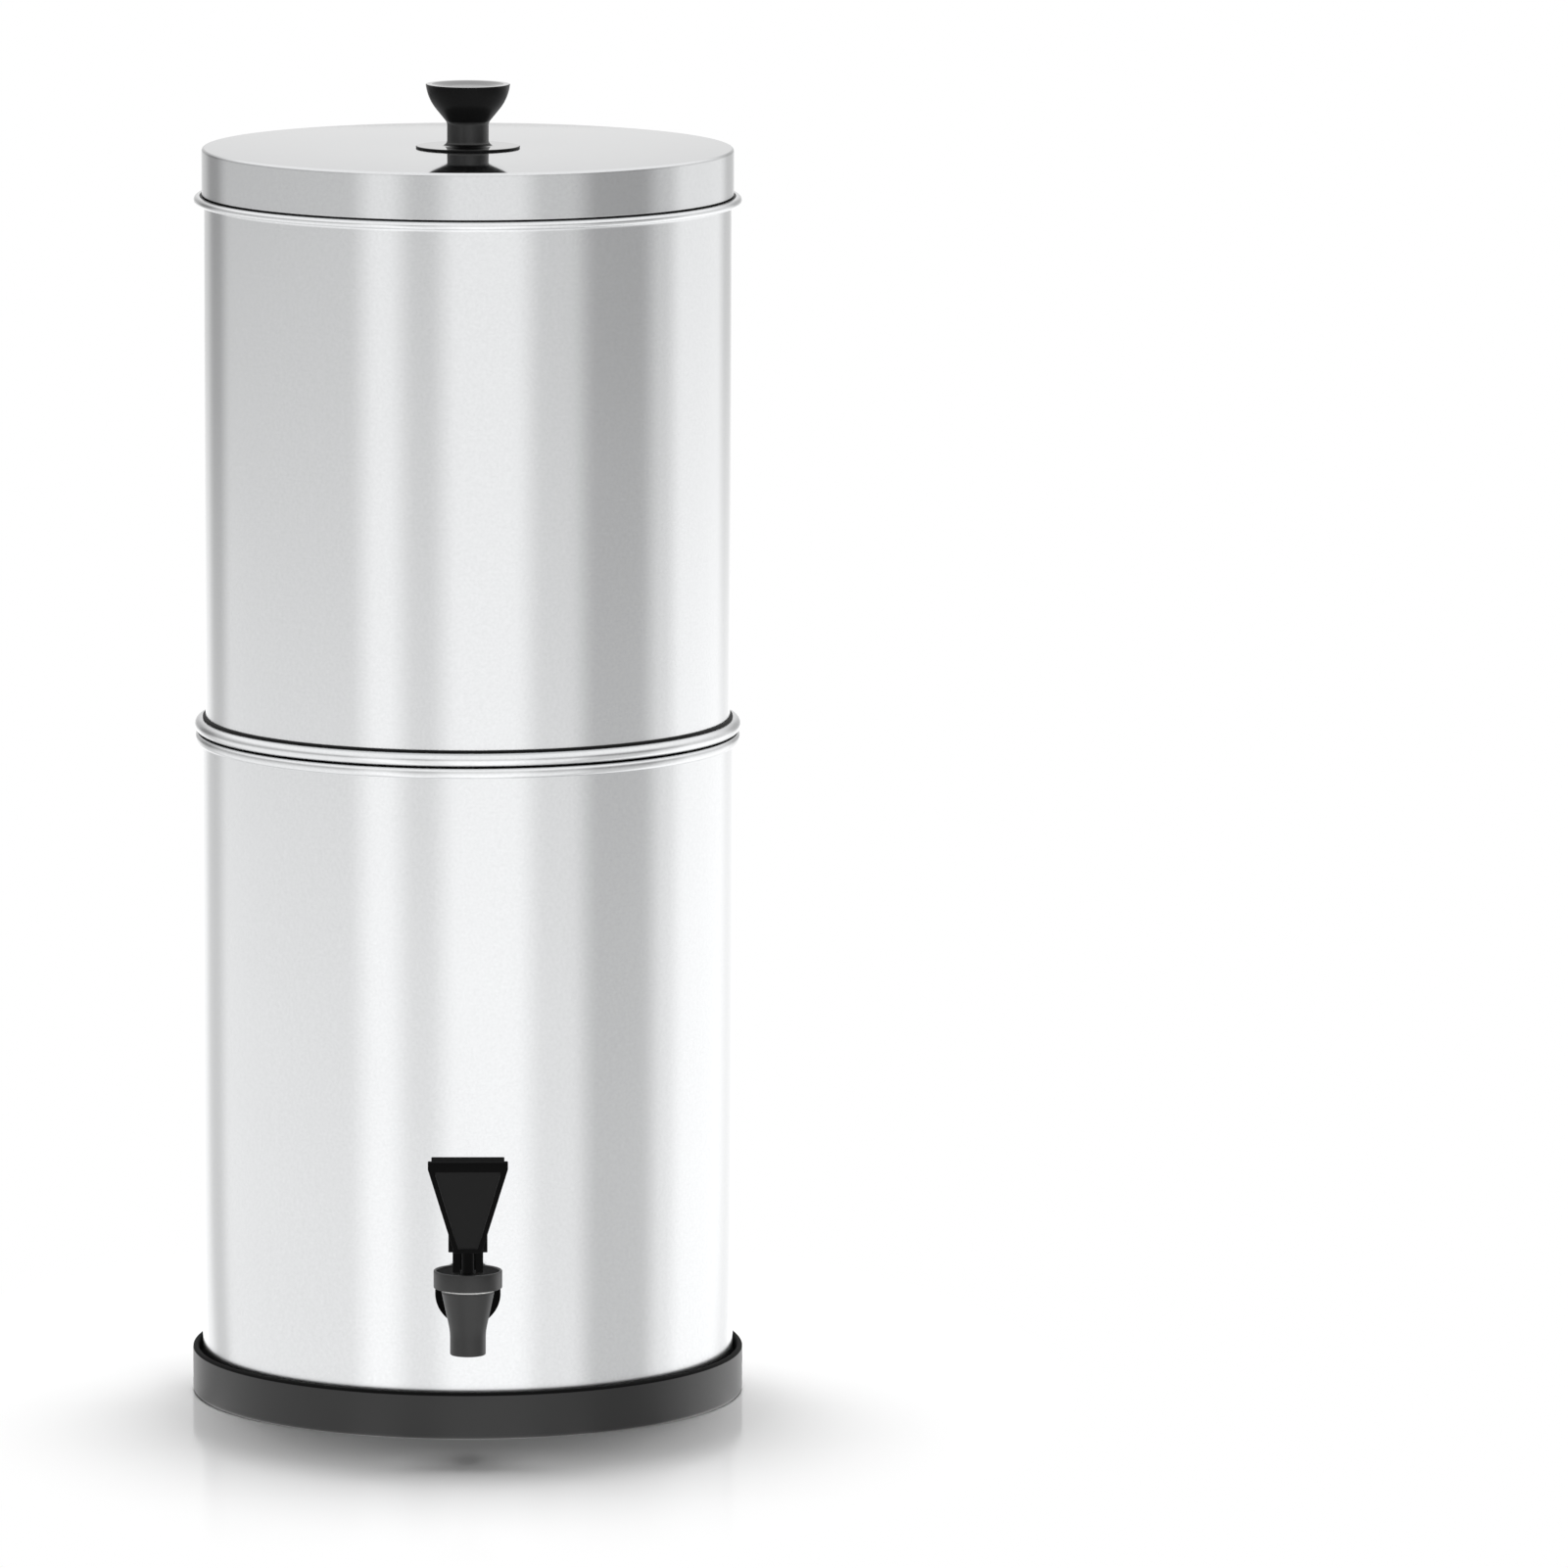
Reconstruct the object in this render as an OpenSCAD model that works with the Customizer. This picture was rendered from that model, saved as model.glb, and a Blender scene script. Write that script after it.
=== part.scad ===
// Gravity water filter with tap: two stacked stainless chambers under a drum lid,
// two carbon filter elements in the upper chamber, a black base ring and a push tap.
// Origin: middle of the base ring's underside. +Z is up and the tap faces -Y.

/* [Chambers] */
// Outer diameter of the lower chamber
lower_d = 216; // [205:1:235]
// Thickness of the chambers' sheet steel
sheet = 0.8; // [0.6:0.1:1]
// Height of the lower chamber, from its underside to the top of its rim
lower_h = 266; // [240:1:300]
// Height of the upper chamber, from its support bead's underside to its lid bead's top
upper_h = 217.6; // [195:0.1:250]
// How far the upper chamber's floor lies below its support bead
nest_depth = 22; // [14:1:28]
// Radial clearance between the nested walls
nest_gap = 0.9; // [0.6:0.1:1.3]
// Outer radius of the rounded bottom corner of each chamber
floor_corner = 6; // [3:0.5:9]

/* [Beads] */
// Width of the wired rim bead of the lower chamber
rim_bead_w = 3.2; // [2.4:0.1:4]
// Height of the wired rim bead of the lower chamber
rim_bead_h = 4.2; // [4:0.1:6]
// Height of the formed bead that carries the upper chamber
support_bead_h = 5.5; // [4.6:0.1:7]
// How far the support bead stands out of the upper wall
support_bead_out = 4.4; // [3.6:0.1:5]
// Height of the formed bead that carries the lid
lid_bead_h = 3.1; // [2.6:0.1:4]
// How far the lid bead stands out of the upper wall
lid_bead_out = 4.2; // [3.2:0.1:5]
// Gap between the stacked chambers
stack_gap = 0.3; // [0.2:0.1:0.6]

/* [Seam gasket] */
// Height of the black ring on the support bead
gasket_h = 1.4; // [1:0.1:2]
// Radial thickness of the black ring
gasket_w = 1.4; // [1:0.1:2]

/* [Lid] */
// Height of the lid
lid_h = 18.9; // [14:0.1:26]
// Thickness of the lid's sheet steel
lid_sheet = 0.7; // [0.5:0.1:1]
// Radial clearance between the lid and the upper chamber's collar
lid_gap = 0.3; // [0.2:0.1:0.6]
// Gap between the lid's skirt and the lid bead
lid_seat = 0.4; // [0.2:0.1:0.8]
// Outer radius of the lid's top edge
lid_corner = 1.2; // [1.1:0.1:3]
// Gap between the top of the collar and the underside of the lid
collar_drop = 1.5; // [1:0.1:3]

/* [Knob] */
// Height of the knob
knob_h = 25.7; // [22:0.1:30]
// Diameter of the knob's rim
knob_rim_d = 34; // [31:0.5:38]
// Diameter of the knob's neck
knob_neck_d = 16.8; // [14:0.1:18]
// Diameter of the knob's thin flange
knob_flange_d = 42; // [36:0.5:50]
// Thickness of the knob's thin flange
knob_flange_t = 0.8; // [0.6:0.1:2]
// Radius of the flare from the flange into the neck
knob_flare_r = 2.2; // [1:0.1:3]
// Radius of the bowl's curved side
knob_bowl_r = 16.4; // [14:0.1:18]
// Radius of the curve from the neck into the bowl
knob_throat_r = 5.7; // [4:0.1:7]
// Width of the flat rim round the dished top
knob_lip_w = 2.5; // [1.5:0.1:4]
// Diameter of the flat floor of the dished top
knob_dish_d = 15; // [8:0.5:20]
// Depth of the dished top
knob_dish_depth = 1; // [0.4:0.1:2]

/* [Knob fixing] */
// Diameter of the knob's screw
screw_d = 5; // [4:0.5:6]
// Length of screw inside the knob
screw_grip = 8; // [5:0.5:10]
// Diameter of the screw's head
screw_head_d = 9; // [8:0.5:11]
// Height of the screw's head
screw_head_h = 3; // [2.5:0.1:3.5]
// Width of the arms of the cross recess
recess_w = 1.2; // [0.8:0.1:1.6]
// Length of the arms of the cross recess
recess_l = 5; // [3:0.1:6]
// Depth of the cross recess
recess_depth = 1.6; // [1:0.1:2]
// Diameter of the threaded insert
insert_d = 8; // [7.6:0.1:10]
// Length of the threaded insert
insert_h = 11; // [9:0.5:15]
// Diameter of the washer under the lid
knob_washer_d = 14; // [12:0.5:20]
// Thickness of the washer under the lid
knob_washer_t = 1; // [0.6:0.1:1.6]

/* [Base ring] */
// Radial gap between the lower chamber and the base ring's upstand
base_air = 1.6; // [1:0.1:3]
// Height of the base ring
base_h = 19; // [18:0.5:30]
// Thickness of the base ring's upstand
base_wall = 2.4; // [1.8:0.1:2.8]
// Height of the ledge that carries the lower chamber
ledge_h = 5; // [4.6:0.1:8]
// How far the ledge reaches in under the lower chamber
ledge_reach = 12; // [10:0.5:24]
// Height of the rib that centres the chamber, above the ledge
centring_h = 6; // [3:0.5:8]
// Height of the slope from the rib out to the upstand
centring_slope = 2; // [1:0.5:4]
// Clearance between the centring rib and the chamber
base_gap = 0.1; // [0.05:0.05:0.3]
// Radius of the ring's outer bottom edge
base_edge_r = 1.5; // [0.5:0.1:3]

/* [Filter elements] */
// Distance between the axes of the two elements
element_pitch = 96; // [84:1:106]
// Height of an element over both caps
element_h = 185; // [150:1:190]
// Outer diameter of the carbon block
block_d = 48.7; // [40:0.1:50]
// Bore of the carbon block
block_bore = 14; // [10:0.5:24]
// Outer diameter of the caps
cap_d = 56.9; // [54:0.1:60]
// Height of the cap that has the stem
stem_cap_h = 11.4; // [9:0.1:15]
// Height of the closed cap
end_cap_h = 10.9; // [9:0.1:15]
// Thickness of the closed end of each cap
cap_floor = 4; // [3:0.1:6]
// Radial glue gap between block and cap
glue_gap = 0.1; // [0.05:0.05:0.3]
// Chamfer on the outer edges of the caps
cap_chamfer = 0.6; // [0.3:0.1:1]
// Diameter of the raised boss round the stem
boss_d = 36; // [30:0.5:40]
// Height of the raised boss round the stem
boss_h = 0.8; // [0.4:0.1:1.5]
// Outer diameter of the threaded stem
stem_d = 9.1; // [8:0.1:10]
// Bore of the stem
stem_bore = 5.2; // [4:0.1:6]
// Length of the stem beyond the boss
stem_len = 25; // [24:0.1:32]
// Radial clearance of the stem in the chamber's floor
stem_hole_gap = 0.45; // [0.3:0.05:1]
// Radial clearance of a stem or screw in its washer, spacer, insert or nut
bolt_gap = 0.1; // [0.05:0.05:0.3]
// Outer diameter of the seal washer and the spacer
seal_d = 22.6; // [20:0.1:26]
// Thickness of the seal washer
seal_h = 3; // [2:0.1:4]
// Height of the spacer
spacer_h = 8.9; // [6:0.1:9.5]

/* [Wing nut] */
// Diameter of the flared foot
nut_foot_d = 20.2; // [18:0.1:22]
// Thickness of the foot's edge
nut_foot_t = 0.6; // [0.4:0.1:1]
// Diameter of the hub
nut_hub_d = 14.8; // [13.5:0.1:17]
// Height of the hub
nut_hub_h = 7.2; // [6:0.1:8]
// Height at which the flare runs into the hub
nut_flare_h = 2.6; // [1.5:0.1:3.5]
// Span over both wings
wing_span = 31.3; // [28:0.1:36]
// Height of the wings above the foot
wing_h = 13.5; // [11:0.1:16]
// Radius of a wing's tip
wing_tip_r = 2.6; // [2:0.1:3]
// Half width of a wing at its root
wing_root_r = 3.2; // [2.6:0.1:3.6]
// Thickness of a wing
wing_t = 3; // [2:0.1:4]
// Depth of the recess in each face of a wing
wing_recess = 0.5; // [0.2:0.1:0.8]
// Border round the recess of a wing
wing_border = 0.9; // [0.6:0.1:1.2]

/* [Tap body] */
// Height of the tap's shank above the lower chamber's underside
tap_h = 54.3; // [40:0.1:90]
// Distance from the chamber's wall to the spout's axis
tap_reach = 38; // [32:0.5:50]
// Height of the body above the shank's axis, up to its shoulder
shoulder_h = 9; // [8:0.1:12]
// Height of the threaded collar above the shoulder
collar_h = 3.9; // [3:0.1:6]
// Diameter of the threaded collar
collar_d = 23.8; // [22:0.1:24.4]
// Diameter of the body below its shoulder
shoulder_d = 21.8; // [20:0.1:23]
// Length of the spout below the shank's axis
spout_drop = 18; // [17:0.1:26]
// Outer diameter of the spout
spout_d = 14.2; // [13.4:0.1:15.5]
// Length of the spout's straight end
spout_straight = 6.6; // [4:0.1:7]
// Radius of the curve from the spout into the body
spout_curve_r = 25; // [18:1:32]
// Angle of the body's tapered side
body_taper = 12; // [10:0.1:13]
// Bore of the spout's outlet
outlet_d = 10.4; // [9.2:0.1:11]
// Bore of the throat that the seat cup closes
throat_d = 8; // [6.5:0.1:8.8]
// Length of the throat
throat_h = 2.5; // [1.5:0.1:4]
// Bore of the valve chamber
valve_bore = 13.2; // [12.6:0.1:13.6]
// Depth of the valve seat below the shank's axis
seat_drop = 4.5; // [4.3:0.1:5]
// Diameter of the horizontal barrel and the threaded shank
shank_d = 16; // [14:0.5:17]
// Bore of the shank
shank_bore = 8; // [6:0.1:8.4]
// Diameter of the flange
flange_d = 25.6; // [22:0.1:28]
// Thickness of the flange
flange_t = 3; // [2:0.1:5]
// Length of shank that stands out of the nut
shank_proud = 4; // [1:0.5:8]
// Radial clearance of the shank in the wall, the washers and the nut
shank_gap = 0.3; // [0.1:0.1:0.6]

/* [Tap seals and nut] */
// Diameter of the two silicone washers
tap_washer_d = 26.2; // [22:0.1:28]
// Thickness of the outer washer at its middle
outer_washer_t = 2; // [1.5:0.1:3]
// Thickness of the inner washer at its sides
inner_washer_t = 2; // [1.5:0.1:3]
// Distance across the flats of the nut
tap_nut_af = 24; // [21:0.5:28]
// Thickness of the nut
tap_nut_t = 7; // [5:0.5:10]
// Clearance between a washer and the curved wall
washer_gap = 0.05; // [0.02:0.01:0.1]

/* [Tap bonnet] */
// Diameter of the bonnet
bonnet_d = 27.3; // [26.6:0.1:30]
// Height of the bonnet
bonnet_h = 7; // [6.4:0.1:9]
// Depth of the dished top
bonnet_dish = 0.8; // [0.4:0.1:1]
// Width of the rim round the dished top
bonnet_lip_w = 1; // [0.8:0.1:1.5]
// Chamfer of the bonnet's outer edges
bonnet_chamfer = 0.3; // [0.2:0.1:0.6]
// Radial thread gap between bonnet and body
thread_gap = 0.1; // [0.05:0.05:0.2]
// Gap between the bonnet's underside and the top of the body
bonnet_clear = 0.1; // [0.05:0.05:0.3]

/* [Valve] */
// Diameter of the valve rod
rod_d = 4.8; // [4:0.1:5.2]
// Radial running clearance of the rod in the bonnet
rod_gap = 0.1; // [0.05:0.01:0.1]
// Diameter of the button at the rod's foot
button_d = 6.8; // [6:0.1:7.6]
// Thickness of the button
button_t = 1.5; // [1:0.1:2]
// Diameter of the rod's head in the lever's fork
head_d = 6; // [5.6:0.1:6.4]
// Thickness of the head across the fork
head_t = 5.6; // [5:0.1:5.8]
// Diameter of the seat cup's body
cup_d = 10.8; // [10:0.1:11.2]
// Height of the seat cup
cup_h = 12.4; // [11.6:0.1:12.8]
// Height of the seat cup's lip that wipes the bore
cup_lip_h = 3; // [2:0.1:3.4]
// Height of the cone from the cup's body to its lip
cup_cone_h = 4; // [3:0.1:4.4]
// Height of the solid foot of the seat cup
cup_foot_h = 6.4; // [5.6:0.1:7]
// Thickness of the cup's skin under the rod's button
cup_skin = 2.1; // [1.4:0.1:2.6]
// Thickness of the cup's thin wall
cup_wall = 1.3; // [1:0.05:1.4]
// Radial running clearance of the cup's lip in the bore
cup_gap = 0.05; // [0.02:0.01:0.1]
// Gap between the closed cup and the seat
seat_gap = 0.1; // [0.05:0.05:0.2]

/* [Return spring] */
// Diameter of the spring's wire
wire_d = 0.6; // [0.5:0.05:0.8]
// Mean diameter of the coils
coil_d = 7.4; // [7.1:0.1:7.4]
// Number of coils
coils = 5; // [4:1:6]

/* [Lever] */
// Height of the lever's pin above the bonnet's dished top
pin_h = 11.6; // [10.6:0.1:13]
// Diameter of the pin
pin_d = 2.5; // [2:0.1:2.8]
// Radial running clearance of the pin in the rod's head
pin_gap = 0.05; // [0.02:0.01:0.1]
// Diameter of the lever's round bosses
boss_lever_d = 7.4; // [7.2:0.1:8]
// Width over the two bosses
boss_span = 15.5; // [14:0.1:18]
// Width over the fork's cheeks
fork_w = 12.1; // [11:0.1:13]
// Width of the slot between the cheeks
slot_w = 6.2; // [6:0.1:6.8]
// Clearance round the rod and its head in the slot
slot_gap = 0.35; // [0.3:0.05:0.45]
// Height of the cheeks above the pin, where they join the plate
cheek_top = 2.8; // [2:0.1:3.2]
// Furthest tilt of the lever
open_angle = 30; // [20:1:30]
// Lift of the valve when the lever is tilted as far as it goes
valve_lift = 2.985; // [2:0.005:3.2]
// Clearance between the cam heels and the bonnet
cam_gap = 0.1; // [0.05:0.05:0.2]
// How far the flat heel reaches behind the pin
heel_back = 3.4; // [2:0.1:3.4]
// Forward lean of the lever at rest
lean = 15; // [8:1:18]
// Length of the lever's plate from its lower end to its top
plate_l = 39.4; // [30:0.1:50]
// How far below the pin the plate starts, along the lever
plate_drop = 0.8; // [0.4:0.1:1]
// Distance from the pin to the plate's face, across the lever
plate_front = 8; // [8:0.1:9.5]
// Thickness of the front plate
plate_t = 2.2; // [1.8:0.1:2.2]
// Width of the plate at its top
plate_top_w = 31.7; // [26:0.1:38]
// Height of the plate's upright shoulders
plate_shoulder = 2.9; // [1:0.1:6]
// Width of the plate at its lower end
plate_low_w = 10.9; // [10:0.1:11.5]
// Depth of the recessed panel
panel_depth = 1; // [0.5:0.1:1.4]
// Border above the panel
panel_top = 4; // [2:0.1:6]
// Border at the panel's top corners
panel_side_top = 3; // [1.5:0.1:5]
// Border at the panel's lower corners
panel_side_low = 1.5; // [1:0.1:2.5]
// Border below the panel
panel_low = 1.8; // [1:0.1:3]
// Overall thickness of the lever's blade
blade_t = 6.1; // [5.4:0.1:6.1]
// How far the blade's back is set in from the plate's sides
blade_inset = 1.4; // [0.8:0.1:2]
// Wall of the moulded hollow in the blade's back
hollow_wall = 1.4; // [1:0.1:2]
// Thickness of the rib in the hollow
rib_t = 1.2; // [0.8:0.1:2]
// Height of the solid foot of the blade, under the hollow
hollow_start = 8.5; // [7:0.1:12]

/* [Hidden] */

$fn = 96;
// Overrun of a cut past the face that it opens
over = 1;
// Sides of the column that a washer's curved face follows
wall_sides = 480;
// Steps in a curved stretch of an outline
arc_steps = 10;
// Rings in one coil of the spring, and sides of its wire
coil_rings = 8;
wire_sides = 6;
// Tangent angles of the knob's bowl, from the vertical, at its rim and at its foot
rim_angle = 11;
foot_angle = 39;

steel = "#C9CBCD";
black = "#1E1E1E";
dark = "#333333";
silicone = "#D9DCD8";

// Levels of the stacked chambers
lower_r = lower_d / 2;
upper_r = lower_r - sheet - nest_gap;
lower_floor_z = ledge_h;
rim_z = lower_floor_z + lower_h;
support_z = rim_z + stack_gap;
upper_floor_z = support_z - nest_depth;
lid_bead_z = support_z + upper_h - lid_bead_h;
lid_r = upper_r + lid_gap + lid_sheet;
lid_low_z = support_z + upper_h + lid_seat;
lid_top_z = lid_low_z + lid_h;
lid_under_z = lid_top_z - lid_sheet;
collar_top_z = lid_under_z - collar_drop;

// The element's own frame has its origin on the boss that the seal washer meets
element_x = element_pitch / 2;
element_z = upper_floor_z + sheet + seal_h;
block_len = element_h - 2 * cap_floor;
spacer_z = seal_h + sheet;
nut_z = spacer_z + spacer_h;
stem_r = stem_d / 2;

// Points of the wings' centre line, in the nut's own frame
wing_tip = [wing_span / 2 - wing_tip_r, wing_h - wing_tip_r];
wing_root = [nut_hub_d / 2 - wing_border, wing_root_r];

// The tap's own frame has its origin where the shank's axis meets the spout's
spout_y = -(lower_r + tap_reach);
tap_z = lower_floor_z + tap_h;
bonnet_top = shoulder_h + bonnet_h;
bonnet_floor = bonnet_top - bonnet_dish;
bonnet_under = shoulder_h + collar_h + bonnet_clear;
collar_top = shoulder_h + collar_h;
tap_washer_r = tap_washer_d / 2;
inner_r = lower_r - sheet;
inner_flat = sqrt(inner_r * inner_r - tap_washer_r * tap_washer_r) - inner_washer_t;
outer_sag = lower_r - sqrt(lower_r * lower_r - tap_washer_r * tap_washer_r);
flange_back = tap_reach - outer_washer_t;
nut_back = lower_r + tap_reach - inner_flat;
shank_end = nut_back + tap_nut_t + shank_proud;
valve_r = valve_bore / 2;
spout_r = spout_d / 2;

cup_base = seat_gap - seat_drop;
cup_top = cup_base + cup_h;
cup_floor = cup_base + cup_foot_h;
cup_r = cup_d / 2;
cup_lip_r = valve_r - cup_gap;
rod_r = rod_d / 2;
button_r = button_d / 2;
button_low = cup_base + cup_skin;
button_top = button_low + button_t;

pin_z = bonnet_floor + pin_h;
// Rise of the valve for each degree and each radian of tilt
lift_per_degree = valve_lift / open_angle;
lift_per_radian = lift_per_degree * 180 / PI;
cam_r = pin_h - cam_gap;

function arc_points(cx, cy, r, from, to) = [
    for (i = [0:arc_steps])
        let (a = from + (to - from) * i / arc_steps)
        [cx + r * cos(a), cy + r * sin(a)]
];

// Distance and unit vector between two points of an outline
function span(a, b) = norm(b - a);
function across(a, b) = [-(b - a)[1], (b - a)[0]] / span(a, b);

// Solid half section with a rounded lower outer corner
module round_block(r, h, corner) {
    square([r - corner, h]);
    translate([0, corner]) square([r, h - corner]);
    translate([r - corner, corner]) circle(corner);
}

// Half section of a drawn sheet cup
module cup_section(r, h, corner, wall) {
    difference() {
        round_block(r, h, corner);
        translate([0, wall]) round_block(r - wall, h, corner - wall);
    }
}

// Section of a wired bead, upright, from its inner lower corner
module wired_bead(w, h) {
    translate([w / 2, w / 2]) circle(w / 2);
    translate([w / 2, h - w / 2]) circle(w / 2);
    translate([0, w / 2]) square([w, h - w]);
}

// Section of a bead formed out of the upper wall, and of the groove inside it
module formed_bead(out, h) {
    translate([upper_r + out - h / 2, h / 2]) circle(h / 2);
    translate([upper_r - sheet, 0]) square([out - h / 2 + sheet, h]);
}

module bead_groove(out, h) {
    translate([upper_r + out - h / 2, h / 2]) circle(h / 2 - sheet);
    translate([upper_r - sheet - over, sheet])
        square([out - h / 2 + sheet + over, h - 2 * sheet]);
}

module base_ring() {
    top_r = base_wall / 2;
    wall_r = lower_r + base_air;
    outer_r = wall_r + base_wall;
    ledge_in_r = lower_r - ledge_reach;
    rib_r = lower_r + base_gap;
    rib_top = ledge_h + centring_h;
    color(dark) rotate_extrude() polygon(concat(
        [[ledge_in_r, 0]],
        arc_points(outer_r - base_edge_r, base_edge_r, base_edge_r, -90, 0),
        arc_points(outer_r - top_r, base_h - top_r, top_r, 0, 180),
        [
            [wall_r, rib_top + centring_slope],
            [rib_r, rib_top],
            [rib_r, ledge_h],
            [ledge_in_r, ledge_h]
        ]
    ));
}

module lower_chamber() {
    color(steel) difference() {
        translate([0, 0, lower_floor_z]) rotate_extrude() {
            cup_section(lower_r, lower_h - rim_bead_h / 2, floor_corner, sheet);
            translate([lower_r - sheet, lower_h - rim_bead_h]) wired_bead(rim_bead_w, rim_bead_h);
        }
        in_tap() along_shank(tap_reach - over, tap_reach + outer_sag + sheet + over)
            circle(shank_d / 2 + shank_gap);
    }
}

module upper_chamber() {
    color(steel) difference() {
        rotate_extrude() difference() {
            union() {
                translate([0, upper_floor_z])
                    cup_section(upper_r, collar_top_z - upper_floor_z, floor_corner, sheet);
                translate([0, support_z]) formed_bead(support_bead_out, support_bead_h);
                translate([0, lid_bead_z]) formed_bead(lid_bead_out, lid_bead_h);
            }
            translate([0, support_z]) bead_groove(support_bead_out, support_bead_h);
            translate([0, lid_bead_z]) bead_groove(lid_bead_out, lid_bead_h);
        }
        for (side = [-1, 1])
            translate([side * element_x, 0, upper_floor_z - over])
                cylinder(r = stem_r + stem_hole_gap, h = sheet + 2 * over);
    }
}

module seam_gasket() {
    color(black) translate([0, 0, support_z + support_bead_h]) difference() {
        cylinder(r = upper_r + gasket_w, h = gasket_h);
        translate([0, 0, -over]) cylinder(r = upper_r, h = gasket_h + 2 * over);
    }
}

module lid() {
    color(steel) difference() {
        translate([0, 0, lid_top_z]) mirror([0, 0, 1]) rotate_extrude()
            cup_section(lid_r, lid_h, lid_corner, lid_sheet);
        translate([0, 0, lid_under_z - over])
            cylinder(r = screw_d / 2 + bolt_gap, h = lid_sheet + 2 * over);
    }
}

module knob() {
    neck_r = knob_neck_d / 2;
    rim_r = knob_rim_d / 2;
    bowl_c = [rim_r - knob_bowl_r * cos(rim_angle), knob_h + knob_bowl_r * sin(rim_angle)];
    bowl_foot = bowl_c + knob_bowl_r * [cos(foot_angle), -sin(foot_angle)];
    throat_end_r = neck_r + knob_throat_r * (1 - cos(foot_angle));
    throat_z = bowl_foot[1] - (bowl_foot[0] - throat_end_r) / tan(foot_angle)
        - knob_throat_r * sin(foot_angle);
    color(black) translate([0, 0, lid_top_z]) difference() {
        rotate_extrude() polygon(concat(
            [[0, 0], [knob_flange_d / 2, 0], [knob_flange_d / 2, knob_flange_t]],
            arc_points(neck_r + knob_flare_r, knob_flange_t + knob_flare_r, knob_flare_r, 270, 180),
            arc_points(neck_r + knob_throat_r, throat_z, knob_throat_r, 180, 180 - foot_angle),
            arc_points(bowl_c[0], bowl_c[1], knob_bowl_r, -foot_angle, -rim_angle),
            [
                [rim_r - knob_lip_w, knob_h],
                [knob_dish_d / 2, knob_h - knob_dish_depth],
                [0, knob_h - knob_dish_depth]
            ]
        ));
        translate([0, 0, -over]) cylinder(d = insert_d, h = insert_h + over);
    }
}

module knob_insert() {
    color("#B8924A") translate([0, 0, lid_top_z]) difference() {
        cylinder(d = insert_d, h = insert_h);
        translate([0, 0, -over]) cylinder(r = screw_d / 2 + bolt_gap, h = insert_h + 2 * over);
    }
}

module knob_washer() {
    color(steel) translate([0, 0, lid_under_z - knob_washer_t]) difference() {
        cylinder(d = knob_washer_d, h = knob_washer_t);
        translate([0, 0, -over])
            cylinder(r = screw_d / 2 + bolt_gap, h = knob_washer_t + 2 * over);
    }
}

module knob_screw() {
    head_z = lid_under_z - knob_washer_t - screw_head_h;
    color(steel) translate([0, 0, head_z]) difference() {
        union() {
            cylinder(d = screw_head_d, h = screw_head_h);
            cylinder(d = screw_d, h = screw_head_h + knob_washer_t + lid_sheet + screw_grip);
        }
        for (turn = [0, 90])
            rotate(turn) translate([-recess_l / 2, -recess_w / 2, -over])
                cube([recess_l, recess_w, recess_depth + over]);
    }
}

// Puts a piece in the tap's own frame
module in_tap() {
    translate([0, spout_y, tap_z]) children();
}

// A section swept along the shank's axis, between two distances from the spout's axis
module along_shank(from, to) {
    translate([0, from, 0]) rotate([-90, 0, 0]) linear_extrude(height = to - from) children();
}

module tap_body() {
    taper_z = spout_straight - spout_drop;
    color(dark) in_tap() difference() {
        union() {
            rotate_extrude() polygon(concat(
                [[0, -spout_drop], [spout_r, -spout_drop]],
                arc_points(spout_r + spout_curve_r, taper_z, spout_curve_r, 180, 180 - body_taper),
                [
                    [shoulder_d / 2, shoulder_h],
                    [collar_d / 2, shoulder_h],
                    [collar_d / 2, collar_top],
                    [0, collar_top]
                ]
            ));
            along_shank(0, shank_end) circle(d = shank_d);
            along_shank(flange_back - flange_t, flange_back) circle(d = flange_d);
        }
        translate([0, 0, -seat_drop]) cylinder(r = valve_r, h = seat_drop + collar_top + over);
        translate([0, 0, -spout_drop]) cylinder(d = throat_d, h = spout_drop);
        translate([0, 0, -spout_drop - over])
            cylinder(d = outlet_d, h = spout_drop - seat_drop - throat_h + over);
        along_shank(0, shank_end + over) circle(d = shank_bore);
    }
}

module tap_outer_washer() {
    color(black) difference() {
        in_tap() along_shank(flange_back, tap_reach + outer_sag) difference() {
            circle(tap_washer_r);
            circle(shank_d / 2 + shank_gap);
        }
        wall_column(lower_r + washer_gap);
    }
}

module tap_inner_washer() {
    color(silicone) intersection() {
        in_tap() along_shank(tap_reach, nut_back) difference() {
            circle(tap_washer_r);
            circle(shank_d / 2 + shank_gap);
        }
        wall_column(inner_r - washer_gap);
    }
}

// Upright column that a washer's curved face follows
module wall_column(r) {
    translate([0, 0, tap_z - tap_washer_d])
        cylinder(r = r, h = 2 * tap_washer_d, $fn = wall_sides);
}

module tap_nut() {
    color(dark) in_tap() along_shank(nut_back, nut_back + tap_nut_t) difference() {
        circle(d = tap_nut_af / cos(30), $fn = 6);
        circle(shank_d / 2 + shank_gap);
    }
}

module tap_bonnet() {
    r = bonnet_d / 2;
    hole_r = rod_r + rod_gap;
    skirt_r = collar_d / 2 + thread_gap;
    dish_r = r - bonnet_lip_w;
    color(dark) in_tap() rotate_extrude() polygon([
        [hole_r, bonnet_under],
        [skirt_r, bonnet_under],
        [skirt_r, shoulder_h],
        [r - bonnet_chamfer, shoulder_h],
        [r, shoulder_h + bonnet_chamfer],
        [r, bonnet_top - bonnet_chamfer],
        [r - bonnet_chamfer, bonnet_top],
        [dish_r, bonnet_top],
        [dish_r - bonnet_chamfer, bonnet_floor],
        [hole_r, bonnet_floor]
    ]);
}

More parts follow.
